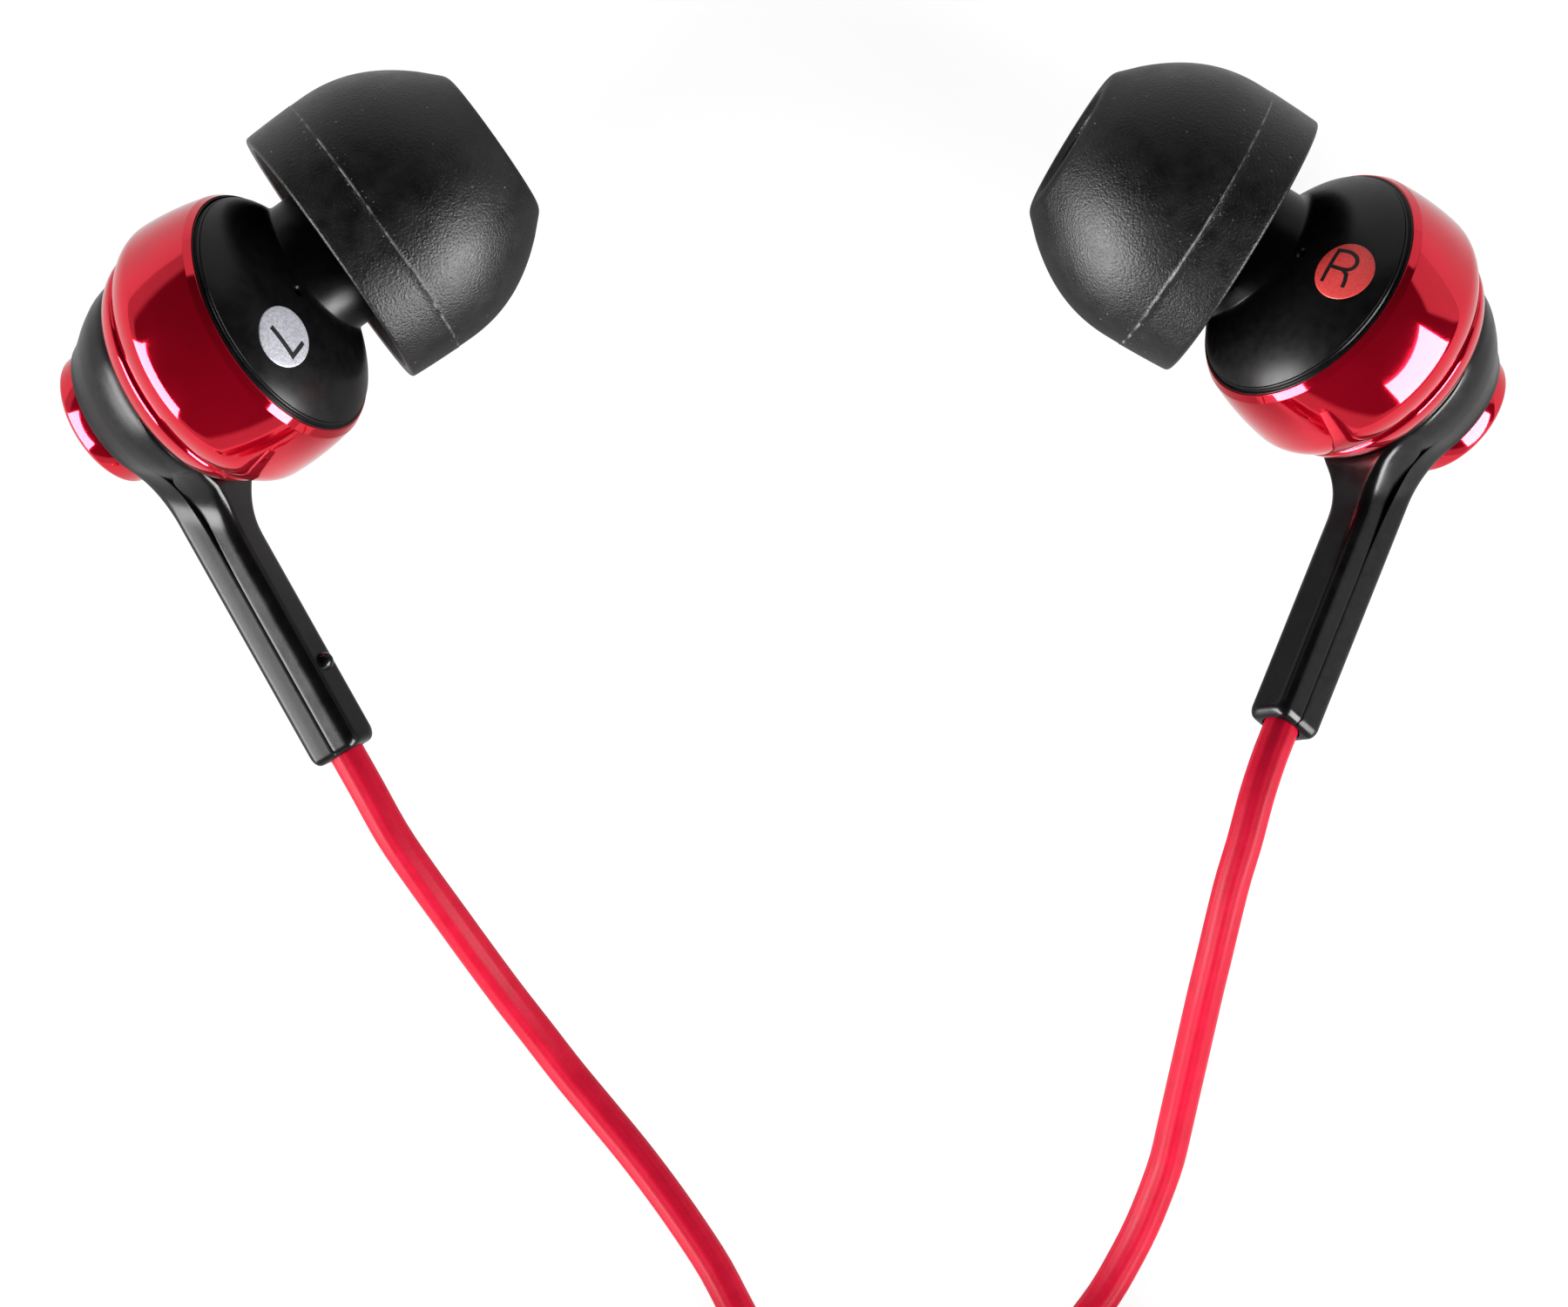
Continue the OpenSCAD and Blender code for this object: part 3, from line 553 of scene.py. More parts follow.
def collar():
    """The collar round the nozzle's root, which runs out into the dome in a fillet."""
    fillet_r = 0.22
    arc = 8
    skirt = []
    for i in range(arc + 1):
        angle = math.pi / 2 * i / arc
        skirt.append((COLLAR_R + fillet_r * (1 - math.cos(angle)), fillet_r * (1 - math.sin(angle))))
    skirt.append((COLLAR_R + fillet_r + 0.12, -0.05))
    # The lower rows are put at whole numbers first and then set down on the dome, row by row
    flat = rounded([(0, COLLAR_TOP), (COLLAR_R, COLLAR_TOP, 0.14), (COLLAR_R, 0)])[:-1]
    flat += [Vector((radius, -1 - i)) for i, (radius, _) in enumerate(skirt)]
    deepest = -1 - len(skirt)
    flat += [Vector((skirt[-1][0], deepest)), Vector((0, deepest))]
    bm = turned(flat, 144)
    for vert in bm.verts:
        if vert.co.x > -0.5:
            continue
        row = round(-1 - vert.co.x)
        around = Vector((0, vert.co.y, vert.co.z))
        low, high = -3.5, COLLAR_TOP
        for _ in range(28):
            middle = (low + high) / 2
            point = NOZZLE @ (around + Vector((middle, 0, 0)))
            outside = point.x > dome_x(Vector(point.yz).length)
            low, high = (low, middle) if outside else (middle, high)
        vert.co.x = low + (skirt[row][1] if row < len(skirt) else -0.6)
    return moved(bm, NOZZLE)


def nozzle():
    """The nozzle with the lip that holds the ear tip."""
    return moved(turned(rounded([
        (0, -2), (NOZZLE_R, -2), (NOZZLE_R, NOZZLE_LEN - 1, 0.05), (LIP_R, NOZZLE_LEN - 0.8, 0.06),
        (LIP_R, NOZZLE_LEN - 0.3, 0.06), (NOZZLE_R, NOZZLE_LEN, 0.08), (0, NOZZLE_LEN),
    ]), 96), NOZZLE)


def front_cover():
    """Cover with a stepped rim, a low dome, the nozzle on its collar and a vent."""
    groove_r = 5.50
    step_x = 0.26
    outline = rounded([
        (0, -SPIGOT_LEN), (SPIGOT_R, -SPIGOT_LEN, 0.1), (SPIGOT_R, 0.0), (COVER_R - 0.09, 0.0, 0.03),
        (COVER_R - 0.10, 0.05, 0.03), (groove_r, 0.05, 0.02), (groove_r, step_x, 0.05),
    ])
    dome = dome_outline(COVER_R, COVER_H, groove_r - 0.05, 40)
    shell = turned(outline + [Vector(p) for p in dome], 144)
    # The collar stays inside the cover's rim
    root = carved(collar(), "INTERSECT", rod(COVER_R - 0.12, -3, 9, 144))
    shell = carved(shell, "UNION", root, nozzle())
    hollow = turned(
        [Vector(p) for p in [(0, -SPIGOT_LEN - 1), (CAVITY_R, -SPIGOT_LEN - 1)]]
        + [Vector(p) for p in dome_outline(CAVITY_R, COVER_H - SHELL_WALL, CAVITY_R, 16)], 96
    )
    channel = moved(rod(CHANNEL_R, -4, NOZZLE_LEN + 1, 72), NOZZLE)
    mouth = moved(rod(NOZZLE_R - 0.3, NOZZLE_LEN - 0.35, NOZZLE_LEN + 1, 72), NOZZLE)
    vent_x = dome_x(Vector(VENT_AT).length)
    vent = turned(rounded([
        (0, -0.5), (VENT_R, -0.5), (VENT_R, vent_x - 0.08), (VENT_R + 0.12, vent_x + 0.06),
        (0, vent_x + 0.06),
    ]), 32)
    moved(vent, Matrix.Translation((0, *VENT_AT)))
    return carved(shell, "DIFFERENCE", hollow, channel, mouth, vent)


# ---------- side markers ----------


def on_dome(at, across, along, rise):
    """A point of the marker: across and along are measured on the disc, from its centre."""
    centre = Vector(at)
    outwards = centre.normalized()
    sideways = Vector((-outwards.y, outwards.x))
    drop = 0.3
    fall = (dome_x(centre.length + drop) - dome_x(centre.length - drop)) / (2 * drop)
    lean = math.cos(math.atan(fall))
    spot = centre + sideways * across + outwards * along * lean
    return Vector((dome_x(spot.length) + rise, spot.x, spot.y))


def marker_disc(at):
    """A thin disc that follows the dome, with a rounded edge."""
    rise = 0.035
    edge = 0.05
    rings = [(MARKER_R, -0.12), (MARKER_R, rise - edge)]
    rings += [
        (MARKER_R - edge * (1 - math.cos(a)), rise - edge * (1 - math.sin(a)))
        for a in (0.4, 0.8, 1.2, math.pi / 2)
    ]
    rings += [(MARKER_R * part, rise) for part in (0.8, 0.6, 0.4, 0.2)]
    bm = bmesh.new()
    rows = []
    for radius, height in rings:
        angles = [math.tau * k / 96 for k in range(96)]
        rows.append([on_dome(at, radius * math.cos(a), radius * math.sin(a), height) for a in angles])
    laid = skin(bm, rows, True)
    bm.faces.new(laid[0])
    bm.faces.new(laid[-1])
    return bm


def stroke(bm, points, width):
    """A printed line on the disc through (y, z) points, with square ends."""
    low, high = 0.02, 0.046
    dense = []
    for a, b in zip(points, points[1:]):
        pieces = max(round((Vector(b) - Vector(a)).length / 0.1), 1)
        dense += [Vector(a).lerp(Vector(b), k / pieces) for k in range(pieces)]
    points = [*dense, Vector(points[-1])]
    lefts, rights = [], []
    for i, point in enumerate(points):
        here = Vector(point)
        before = (here - Vector(points[i - 1])).normalized() if i else None
        after = (Vector(points[i + 1]) - here).normalized() if i + 1 < len(points) else None
        heading = ((before or after) + (after or before)).normalized()
        stretch = 1 / max(heading.dot(before or after), 0.5)
        offset = Vector((-heading.y, heading.x)) * width / 2 * stretch
        lefts.append(here + offset)
        rights.append(here - offset)
    rows = []
    for left, right in zip(lefts, rights):
        corners = [(left, low), (left, high), (right, high), (right, low)]
        rows.append([
            Vector((dome_x(p.length) + h, p.x, p.y)) for p, h in corners
        ])
    laid = skin(bm, rows, True)
    bm.faces.new(laid[0])
    bm.faces.new(laid[-1])


def arc_points(points, steps=6):
    """A smooth open line through a few points."""
    dense = []
    padded_points = [points[0], *points, points[-1]]
    for a, b, c, d in zip(padded_points, padded_points[1:], padded_points[2:], padded_points[3:]):
        for k in range(steps):
            t = k / steps
            dense.append(tuple(
                0.5 * (2 * q + (r - p) * t + (2 * p - 5 * q + 4 * r - s) * t * t
                       + (3 * q - p - 3 * r + s) * t ** 3)
                for p, q, r, s in zip(a, b, c, d)
            ))
    dense.append(tuple(points[-1]))
    return dense


def letter_l():
    """The strokes of a sloping L on the left marker."""
    bm = bmesh.new()
    stroke(bm, [(-3.73, -0.65), (-3.24, -2.17), (-2.42, -1.83)], 0.2)
    return bm


def letter_r():
    """The strokes of a sloping R on the right marker; (across, up) is measured from the stem's foot."""
    foot = Vector((-2.69, -1.19))
    across = Vector((-0.981, -0.193))
    up = Vector((-0.193, 0.981))

    def spot(u, v):
        return tuple(foot + across * u + up * v)

    bm = bmesh.new()
    stroke(bm, [spot(0, 0), spot(0, 1.68)], 0.17)
    bowl = [(0.0, 1.61), (0.55, 1.66), (0.95, 1.5), (1.1, 1.2), (1.0, 0.92), (0.70, 0.79), (0.07, 0.79)]
    stroke(bm, arc_points([spot(*p) for p in bowl]), 0.165)
    stroke(bm, [spot(0.66, 0.79), spot(0.93, 0.62), spot(1.02, 0.3), spot(1.04, 0)], 0.165)
    return bm


# ---------- barrel ring and rear cap ----------


def barrel_radius(x):
    """Outer radius of the barrel's belly, where x is the distance behind its front edge."""
    widest = 3.3
    if x < widest:
        return BARREL_R - 0.34 * ((widest - x) / (widest - 0.3)) ** 2
    return BARREL_R - 0.74 * ((x - widest) / (4.75 - widest)) ** 2.1


def barrel_ring():
    """Bright ring with a bevelled front edge, a full belly, a crease and a sloping belt behind it."""
    crease_at = 4.75
    outline = [(BORE_R, 0), (COVER_R - 0.03, 0, 0.04), (barrel_radius(0.32), -0.32, 0.05)]
    belly_steps = 26
    for i in range(1, belly_steps + 1):
        x = 0.45 + (crease_at - 0.02 - 0.45) * i / belly_steps
        outline.append((barrel_radius(x), -x))
    outline += [
        (5.50, -4.80), (5.535, -4.84), (5.56, -4.90), (5.545, -5.02), (5.49, -5.16), (5.42, -5.30),
        (5.33, -5.45), (5.19, -5.62), (5.08, -BARREL_LEN, 0.06), (CAVITY_R, -BARREL_LEN),
        (CAVITY_R, SHOULDER_X), (BORE_R, SHOULDER_X),
    ]
    return turned(rounded(outline), 192)


def rear_cap():
    """Pressed disc with a slightly crowned face and a rounded edge."""
    back = REAR_END_X
    outline = rounded([
        (0, back + SHELL_WALL), (CAP_SPIGOT_R, back + SHELL_WALL, 0.08), (CAP_SPIGOT_R, back),
        (CAP_R - 0.02, back, 0.04), (CAP_R, back - 0.5), (CAP_R - 0.04, back - 1.0, 0.25),
        (CAP_R - 0.32, back - 1.22, 0.2), (1.6, back - 1.31), (0, back - 1.34),
    ])
    return turned(outline, 128)


# ---------- rear housing and stem ----------

RING_PROFILE = [
    (-5.80, 4.97), (-6.05, 4.97), (-6.45, 4.87), (-6.95, 4.70), (-7.75, 4.25), (-8.35, 3.82), (-8.65, 3.62),
    (-8.95, 3.47),
]
SEAM_PROFILE = [
    (-1.05, -5.90), (-2.1, -6.14), (-2.9, -6.36), (-3.6, -6.86), (-4.15, -7.40), (-4.7, -7.60),
    (-5.4, SEAM_X), (-19.0, SEAM_X),
]


def ring_radius(x):
    return curve_through(RING_PROFILE, min(max(x, REAR_END_X), REAR_FRONT_X))


def seam_at(z):
    """Where the seam between the rear housing and the stem's shell lies, at a height."""
    return curve_through(SEAM_PROFILE, min(max(z, -18.9), -1.06))


def shell_front_at(z):
    """Front of the stem's shell at a height: it leans forward to the barrel near its top."""
    lean = min(max((z + 7.4) / 2.7, 0), 1)
    return min(STEM_FRONT_X + 0.62 * lean ** 1.7, REAR_FRONT_X + 0.02)


def stem_half_outline(radius, half, end_z, corner, top_angle, counts):
    """Half the outline of ring and stem, seen along the axis, from the top angle down to the stem's end.

    A fillet joins the ring's circle to the stem's straight side. The points are (y, z).
    """
    arc_count, flare_count, side_count, corner_count = counts
    reach = radius + STEM_FLARE_R
    centre = Vector((half + STEM_FLARE_R, -math.sqrt(reach ** 2 - (half + STEM_FLARE_R) ** 2)))
    tangent = math.atan2(centre.x, -centre.y)
    found = []
    for i in range(arc_count):
        angle = top_angle + (tangent - top_angle) * i / arc_count
        found.append((radius * math.sin(angle), -radius * math.cos(angle)))
    for i in range(flare_count):
        angle = (math.pi / 2 - tangent) * (1 - i / flare_count)
        found.append((centre.x - STEM_FLARE_R * math.cos(angle), centre.y + STEM_FLARE_R * math.sin(angle)))
    for i in range(side_count):
        found.append((half, centre.y + (end_z + corner - centre.y) * i / side_count))
    for i in range(corner_count):
        angle = math.pi / 2 * i / corner_count
        found.append((half - corner * (1 - math.cos(angle)), end_z + corner * (1 - math.sin(angle))))
    for i in range(4):
        found.append(((half - corner) * (1 - i / 3), end_z))
    return found


def whole_outline(half):
    """A closed outline from its half, mirrored to the other side."""
    return half + [(-y, z) for y, z in half[-2:0:-1]]


def rear_housing():
    """Rear ring that flows into the stem's rear strip, bored for the cap, the leads and the cord."""
    counts = (40, 16, 26, 6)
    edge = 0.42
    rows = []
    # The ring alone, in front of the seam; its points match those of the outline with the strip
    for x in (-5.80, -5.83, -5.9, -6.0, -6.15, -6.3, -6.5, -6.75, -7.0, -7.25, -7.5, SEAM_X - 0.004):
        inset = 0.03 if x == -5.80 else 0.0
        radius = ring_radius(x) - inset
        half = stem_half_outline(radius, 1.1, -STEM_LEN, STEM_CORNER, math.pi, counts)
        ring = []
        first = counts[0]
        tangent = math.atan2(half[first][0], -half[first][1])
        for i, (y, z) in enumerate(half):
            if i >= first:
                angle = tangent * (1 - (i - first) / (len(half) - 1 - first))
                y, z = radius * math.sin(angle), -radius * math.cos(angle)
            ring.append((y, z))
        rows.append([Vector((x, y, z)) for y, z in whole_outline(ring)])
    levels = [(SEAM_X - 0.008, 0.035), (SEAM_X - 0.02, 0.012), (SEAM_X - 0.045, 0.0)]
    levels += [(SEAM_X - 0.045 - 0.4 * i / 3, 0.0) for i in (1, 2, 3)]
    for i in range(9):
        angle = math.pi / 2 * i / 8
        levels.append((REAR_END_X + edge * (1 - math.sin(angle)), edge * (1 - math.cos(angle))))
    for x, inset in levels:
        half = stem_half_outline(
            ring_radius(x) - (0.04 if x == REAR_END_X else 0), STEM_WIDE / 2 - inset,
            -STEM_LEN + inset * 0.8, STEM_CORNER, math.pi, counts
        )
        rows.append([Vector((x, y, z)) for y, z in whole_outline(half)])
    bm = bmesh.new()
    laid = skin(bm, rows, True)
    bm.faces.new(laid[0])
    bm.faces.new(laid[-1])
    bmesh.ops.remove_doubles(bm, verts=bm.verts, dist=1e-4)
    bmesh.ops.recalc_face_normals(bm, faces=bm.faces)
    hollow = turned(rounded([
        (0, -4.0), (3.75, -4.0), (3.75, -6.55), (REAR_END_R - SHELL_WALL, REAR_END_X + SHELL_WALL),
        (0, REAR_END_X + SHELL_WALL),
    ]), 96)
    cap_hole = rod(CAP_SPIGOT_R + 0.05, REAR_END_X - 1, -6.5, 96)
    return carved(bm, "DIFFERENCE", hollow, cap_hole, cord_bore())


def cord_bore():
    """The bore for the leads and the wider one that takes the cord at the stem's end."""
    lead_r = 0.7
    step_z = -12.75
    outline = [(0, -19), (CORD_BORE_R, -19), (CORD_BORE_R, step_z), (lead_r, step_z), (lead_r, -2), (0, -2)]
    upright = Matrix.Rotation(math.radians(-90), 4, "Y")
    return moved(turned(outline, 48), Matrix.Translation((STEM_X, 0, 0)) @ upright)


SHELL_FRONT_EDGE = 0.50
SHELL_SEAM_EDGE = 0.04
SHELL_THICK = 0.45
SHELL_TOP_ANGLE = math.radians(77)


def shell_inset(kind, value):
    """How far a level of the stem's shell lies inside the shell's outline."""
    if kind == "seam":
        return SHELL_SEAM_EDGE * (1 - math.sin(value))
    if kind == "front":
        return SHELL_FRONT_EDGE * (1 - math.cos(value))
    return SHELL_FRONT_EDGE if kind == "cap" else 0.0


def shell_depth(kind, value, back, front):
    """Where a level of the stem's shell lies between the seam and the front face."""
    room = front - back
    rounding = min(SHELL_FRONT_EDGE, room / 2)
    if kind == "seam":
        return back + min(SHELL_SEAM_EDGE, room / 3) * (1 - math.cos(value))
    if kind == "side":
        return back + SHELL_SEAM_EDGE + (room - SHELL_SEAM_EDGE - rounding) * value
    if kind == "front":
        return front - rounding * (1 - math.sin(value))
    return front


def stem_shell(with_nub):
    """Glossy front half of the stem; its top spreads along the ring's front edge on both sides."""
    counts = (22, 18, 30, 6)
    # Each level is (part of the section, angle or share within that part, share of the way to the middle)
    levels = [("seam", 0, part) for part in (1.0, 0.8, 0.55, 0.3, 0.1)]
    levels += [("seam", angle, 0) for angle in (0.0, 0.4, 0.9, 1.25, math.pi / 2)]
    levels += [("side", share, 0) for share in (0.2, 0.4, 0.6, 0.8)]
    levels += [("front", math.pi / 2 * i / 8, 0) for i in range(9)]
    levels += [("cap", 0, part) for part in (0.15, 0.35, 0.55, 0.8, 1.0)]
    rows = []
    for kind, value, part in levels:
        inset = shell_inset(kind, value)
        section = (
            STEM_WIDE / 2 - inset, -STEM_LEN + inset * 0.8, STEM_CORNER, SHELL_TOP_ANGLE, counts
        )
        row = []
        for i, (_, height) in enumerate(stem_half_outline(4.6, *section)):
            x = shell_depth(kind, value, seam_at(height), shell_front_at(height))
            radius = ring_radius(x)
            y, z = stem_half_outline(radius, *section)[i]
            if i < counts[0]:
                grown = (radius + 0.03 - inset * 0.15) / radius
                y, z = y * grown, z * grown
            middle = math.sqrt(max((radius - SHELL_THICK) ** 2 - z ** 2, 0))
            row.append(Vector((x, y + (middle - y) * part, z)))
        rows.append(row)
    bm = bmesh.new()
    laid = skin(bm, rows, False)
    inner_count = sum(1 for v in rows[0] if v.y > 1e-4)
    for k in range(inner_count):
        bm.faces.new((laid[0][k], laid[0][k + 1], laid[-1][k + 1], laid[-1][k]))
    bm.faces.new([row[0] for row in laid])
    geometry = bm.verts[:] + bm.edges[:] + bm.faces[:]
    bmesh.ops.mirror(bm, geom=geometry, axis="Y", merge_dist=1e-4)
    bmesh.ops.remove_doubles(bm, verts=bm.verts, dist=1e-4)
    bmesh.ops.recalc_face_normals(bm, faces=bm.faces)
    bm = carved(bm, "DIFFERENCE", cord_bore())
    if with_nub:
        nub = bmesh.new()
        bmesh.ops.create_uvsphere(nub, u_segments=32, v_segments=20, radius=NUB_R)
        moved(nub, Matrix.Translation((STEM_FRONT_X, 0, -STEM_LEN + NUB_UP)))
        bm = carved(bm, "UNION", nub)
    return bm


# ---------- cords ----------

LEFT_ROUTE = [
    (-20.34, -11.97, 5.43), (-18.86, -14.58, 5.54), (-18.0, -16.1, 5.5), (-16.9, -18.1, 5.2),
    (-15.7, -19.9, 4.6), (-14.5, -21.6, 3.8), (-13.3, -23.3, 2.9), (-12.0, -25.1, 2.0),
    (-10.7, -26.8, 1.35), (-9.4, -28.5, 0.95), (-8.0, -30.2, 0.8), (-6.6, -31.9, 0.78),
    (-5.3, -33.6, 0.78), (-4.1, -35.3, 0.78), (-3.0, -37.0, 0.78), (-2.1, -38.7, 0.78),
    (-0.8, -41.1, 0.78), (0.5, -43.4, 0.78), (1.7, -45.5, 0.78), (2.8, -47.4, 0.78),
]
RIGHT_ROUTE = [
    (22.32, -10.97, 10.02), (21.27, -13.48, 11.27), (20.75, -14.75, 11.8), (20.2, -16.4, 12.1),
    (19.7, -18.3, 12.0), (19.2, -20.0, 11.6), (18.8, -21.7, 10.9), (18.45, -23.3, 10.0),
    (18.1, -24.9, 8.9), (17.8, -26.4, 7.7), (17.5, -27.9, 6.5), (17.2, -29.4, 5.3),
    (16.9, -30.9, 4.2), (16.6, -32.3, 3.2), (16.1, -33.8, 2.4), (15.5, -35.3, 1.7),
    (14.8, -36.7, 1.2), (14.0, -38.1, 0.9), (12.9, -39.6, 0.8), (11.6, -41.4, 0.78),
    (10.1, -43.6, 0.78), (8.4, -45.95, 0.78),
]
LEFT_TAIL_ROUTE = [
    (4.2, -52.7, 2.33), (4.2, -55.5, 2.2), (4.15, -58.5, 1.9), (4.05, -61.5, 1.8),
    (3.97, -64.5, 1.95), (3.95, -66.8, 2), (3.95, -70, 2),
]
RIGHT_TAIL_ROUTE = [
    (6.3, -52.4, 2.33), (6.3, -55.3, 2.2), (6.35, -58.3, 1.9), (6.45, -61.5, 1.8),
    (6.53, -64.5, 1.95), (6.55, -66.8, 2), (6.55, -70, 2),
]
MAIN_ROUTE = [
    (5.25, -76, 2), (5.25, -79.5, 2), (5.25, -83, 1.6), (5.25, -86.5, 1.2), (5.25, -89, 1.02),
    (5.25, -91, 1),
]
MAIN_TAIL_ROUTE = [
    (-8.75, -105, 7), (-11.5, -105.1, 7), (-14.2, -105.2, 6.8), (-16.8, -105.1, 6.2), (-19.4, -104.7, 5.4),
    (-21.8, -103.6, 4.6), (-24, -102, 3.9), (-25.6, -99.8, 3.4), (-26.5, -97.3, 3.1), (-27, -95, 3),
    (-27.3, -93, 3), (-29.1, -81.64, 3),
]
LEFT_COIL_AT = (-6.8, -52.7)
RIGHT_COIL_AT = (17.3, -52.4)
BRANCH_COIL_R = 11
MAIN_COIL_AT = (-8.75, -91)
MAIN_COIL_R = 14
CORD_RIBS = 12


def coil_turns(centre, radius, start, turns, diameter, layers, low, per_turn=36):
    """Points of a wound coil: the turns lie side by side, and each layer on the one below.

    Start is in degrees; turns is negative for a clockwise coil.
    """
    count = round(abs(turns) * per_turn)
    span = abs(turns) / layers * diameter
    found = []
    for i in range(1, count):
        share = i / count
        layer = min(int(share * layers), layers - 1)
        across = share * layers - layer
        inwards = across if layer % 2 == 0 else 1 - across
        climb = sum(smooth_step(abs(turns) * (share - k / layers), -0.03, 0.11) for k in range(1, layers))
        angle = math.radians(start + 360 * turns * share)
        reach = radius - span * inwards
        found.append((
            centre[0] + reach * math.cos(angle), centre[1] + reach * math.sin(angle), low + diameter * climb
        ))
    return found


def smooth_path(points, step):
    """Points a step apart on the smooth curve through the given ones."""
    dense = [Vector(p) for p in arc_points(points, 12)]
    found = [dense[0]]
    carried = 0.0
    for a, b in zip(dense, dense[1:]):
        length = (b - a).length
        while carried + length >= step:
            a = a.lerp(b, (step - carried) / length)
            found.append(a)
            length = (b - a).length
            carried = 0.0
        carried += length
    if (dense[-1] - found[-1]).length > step / 3:
        found.append(dense[-1])
    else:
        found[-1] = dense[-1]
    return found


def cord_tube(path, diameter, ribs, depth, sides):
    """A closed tube along the path, with fine ribs along it and a UV map that follows it."""
    bm = bmesh.new()
    uv = bm.loops.layers.uv.new("along")
    rows = []
    side = None
    for i, point in enumerate(path):
        heading = (path[min(i + 1, len(path) - 1)] - path[max(i - 1, 0)]).normalized()
        side = heading.cross((0, 0, 1)).normalized() if side is None else side
        side = (side - heading * side.dot(heading)).normalized()
        up = side.cross(heading)
        row = []
        for k in range(sides):
            angle = math.tau * k / sides
            reach = diameter / 2 - depth * (0.5 - 0.5 * math.cos(ribs * angle)) ** 2
            row.append(point + (side * math.cos(angle) + up * math.sin(angle)) * reach)
        rows.append(row)
    rings = skin(bm, rows, True)
    place = {vert: (k / sides, i) for i, ring in enumerate(rings) for k, vert in enumerate(ring)}
    for face in bm.faces:
        for loop in face.loops:
            loop[uv].uv = place[loop.vert]
    bm.faces.new(rings[0])
    bm.faces.new(rings[-1])
    return bm


def lay_cord(node, routes, diameter, depth):
    """A ribbed tube laid along the routes, which are in millimetres, in place of the cord's nodes."""
    points = [point for route in routes for point in route]
    path = smooth_path(points, diameter * 0.45)
    bm = cord_tube(path, diameter, CORD_RIBS, depth, CORD_RIBS * 5)
    nodes = [node, f"{node}_coil", f"{node}_tail"]
    cord = finished(f"{node}_jacket", bm, Matrix.Scale(MM, 4), "pair", "cord", nodes, crease=75)


# ---------- splitter and plug ----------

SPLIT_X = 5.25
SPLIT_Y = -67
SPLIT_Z = 2.0
SPLIT_LEN = 12
SPLIT_HALF = 3.2
SPLIT_HIGH = 2.0
INLET_HALF = 1.3


def splitter():
    """Soft moulding where the two branches join: an oval block that narrows to the main cord, with ribs."""
    stations = [
        (0.0, 0.80), (0.05, 0.90), (0.22, 0.98), (0.5, 1.0), (5.4, 1.0), (6.4, 0.985), (7.2, 0.95),
    ]
    sides = 64
    rows = []
    for along, size in stations:
        rows.append((along, SPLIT_HALF * size, SPLIT_HIGH * size))
    for k in range(4):
        start = 7.7 + k * 1.05
        slim = 1 - k / 4
        wide = 1.75 + 1.1 * slim
        high = 1.72 + 0.16 * slim
        rows += [
            (start, wide, high), (start + 0.12, wide - 0.13, high - 0.13),
            (start + 0.42, wide - 0.16, high - 0.16), (start + 0.54, wide - 0.06, high - 0.02),
        ]
    rows += [(SPLIT_LEN - 0.12, 1.72, 1.68), (SPLIT_LEN, 1.58, 1.56)]
    loops = []
    for along, wide, high in rows:
        loop = []
        for k in range(sides):
            angle = math.tau * k / sides
            c, s = math.cos(angle), math.sin(angle)
            flat = wide - high
            x = high * c + (flat if c > 0 else -flat) * min(abs(c) * 3, 1)
            loop.append(Vector((SPLIT_X + x, SPLIT_Y - along, SPLIT_Z + high * s)))
        loops.append(loop)
    bm = bmesh.new()
    laid = skin(bm, loops, True)
    bm.faces.new(laid[0])
    bm.faces.new(laid[-1])
    bmesh.ops.recalc_face_normals(bm, faces=bm.faces)
    backwards = Matrix.Rotation(math.radians(-90), 4, "Z")
    holes = []
    # Each hole: its place across the splitter, its cord's thickness, where it starts and ends
    places = [
        (-INLET_HALF, BRANCH_D, -1, 3), (INLET_HALF, BRANCH_D, -1, 3),
        (0, MAIN_D, SPLIT_LEN - 3, SPLIT_LEN + 1),
    ]
    for across, thick, start, end in places:
        hole = rod(thick / 2 + 0.04, start, end)
        holes.append(moved(hole, Matrix.Translation((SPLIT_X + across, SPLIT_Y, SPLIT_Z)) @ backwards))
    return carved(bm, "DIFFERENCE", *holes)


PLUG = (
    Matrix.Scale(MM, 4) @ Matrix.Translation((-28.55, -85.1, 3)) @ Matrix.Rotation(math.radians(99), 4, "Z")
)
GRIP_LEN = 12
GRIP_R = 3
PIN_R = 1.75
TAIL_R = 1.45
RELIEF_R = 2.2
PLUG_CORD_BORE_R = MAIN_D / 2 + 0.05


def strain_relief():
    """Tapered sleeve with ring grooves, which lets the cord bend gently."""
    outline = [(PLUG_CORD_BORE_R, -8), (1.3, -8, 0.12)]
    for k in range(6):
        start = -7.2 + k * 1.15
        radius = 1.38 + 0.13 * k
        outline += [
            (radius, start, 0.06), (radius - 0.2, start + 0.1, 0.05), (radius - 0.2, start + 0.4, 0.05),
            (radius + 0.04, start + 0.5, 0.06),
        ]
    outline += [(RELIEF_R, -0.1), (RELIEF_R, 2), (PLUG_CORD_BORE_R, 2)]
    return turned(rounded(outline, 3), 96)


def plug_grip():
    """Moulded grip with a waist, rounded ends and shallow finger rings."""
    outline = [(RELIEF_R, 0), (GRIP_R - 0.35, 0, 0.3), (GRIP_R, 0.9, 0.6)]
    for k in range(5):
        start = 2.6 + k * 0.9
        outline += [
            (GRIP_R, start, 0.06), (GRIP_R - 0.14, start + 0.08, 0.06), (GRIP_R - 0.14, start + 0.34, 0.06),
            (GRIP_R, start + 0.42, 0.06),
        ]
    outline += [
        (GRIP_R, GRIP_LEN - 1.4, 0.8), (GRIP_R - 0.45, GRIP_LEN - 0.25, 0.3), (GRIP_R - 0.6, GRIP_LEN, 0.12),
        (TAIL_R, GRIP_LEN), (TAIL_R, 3.5), (PLUG_CORD_BORE_R, 3.5), (PLUG_CORD_BORE_R, 2), (RELIEF_R, 2),
    ]
    return turned(rounded(outline, 4), 128)


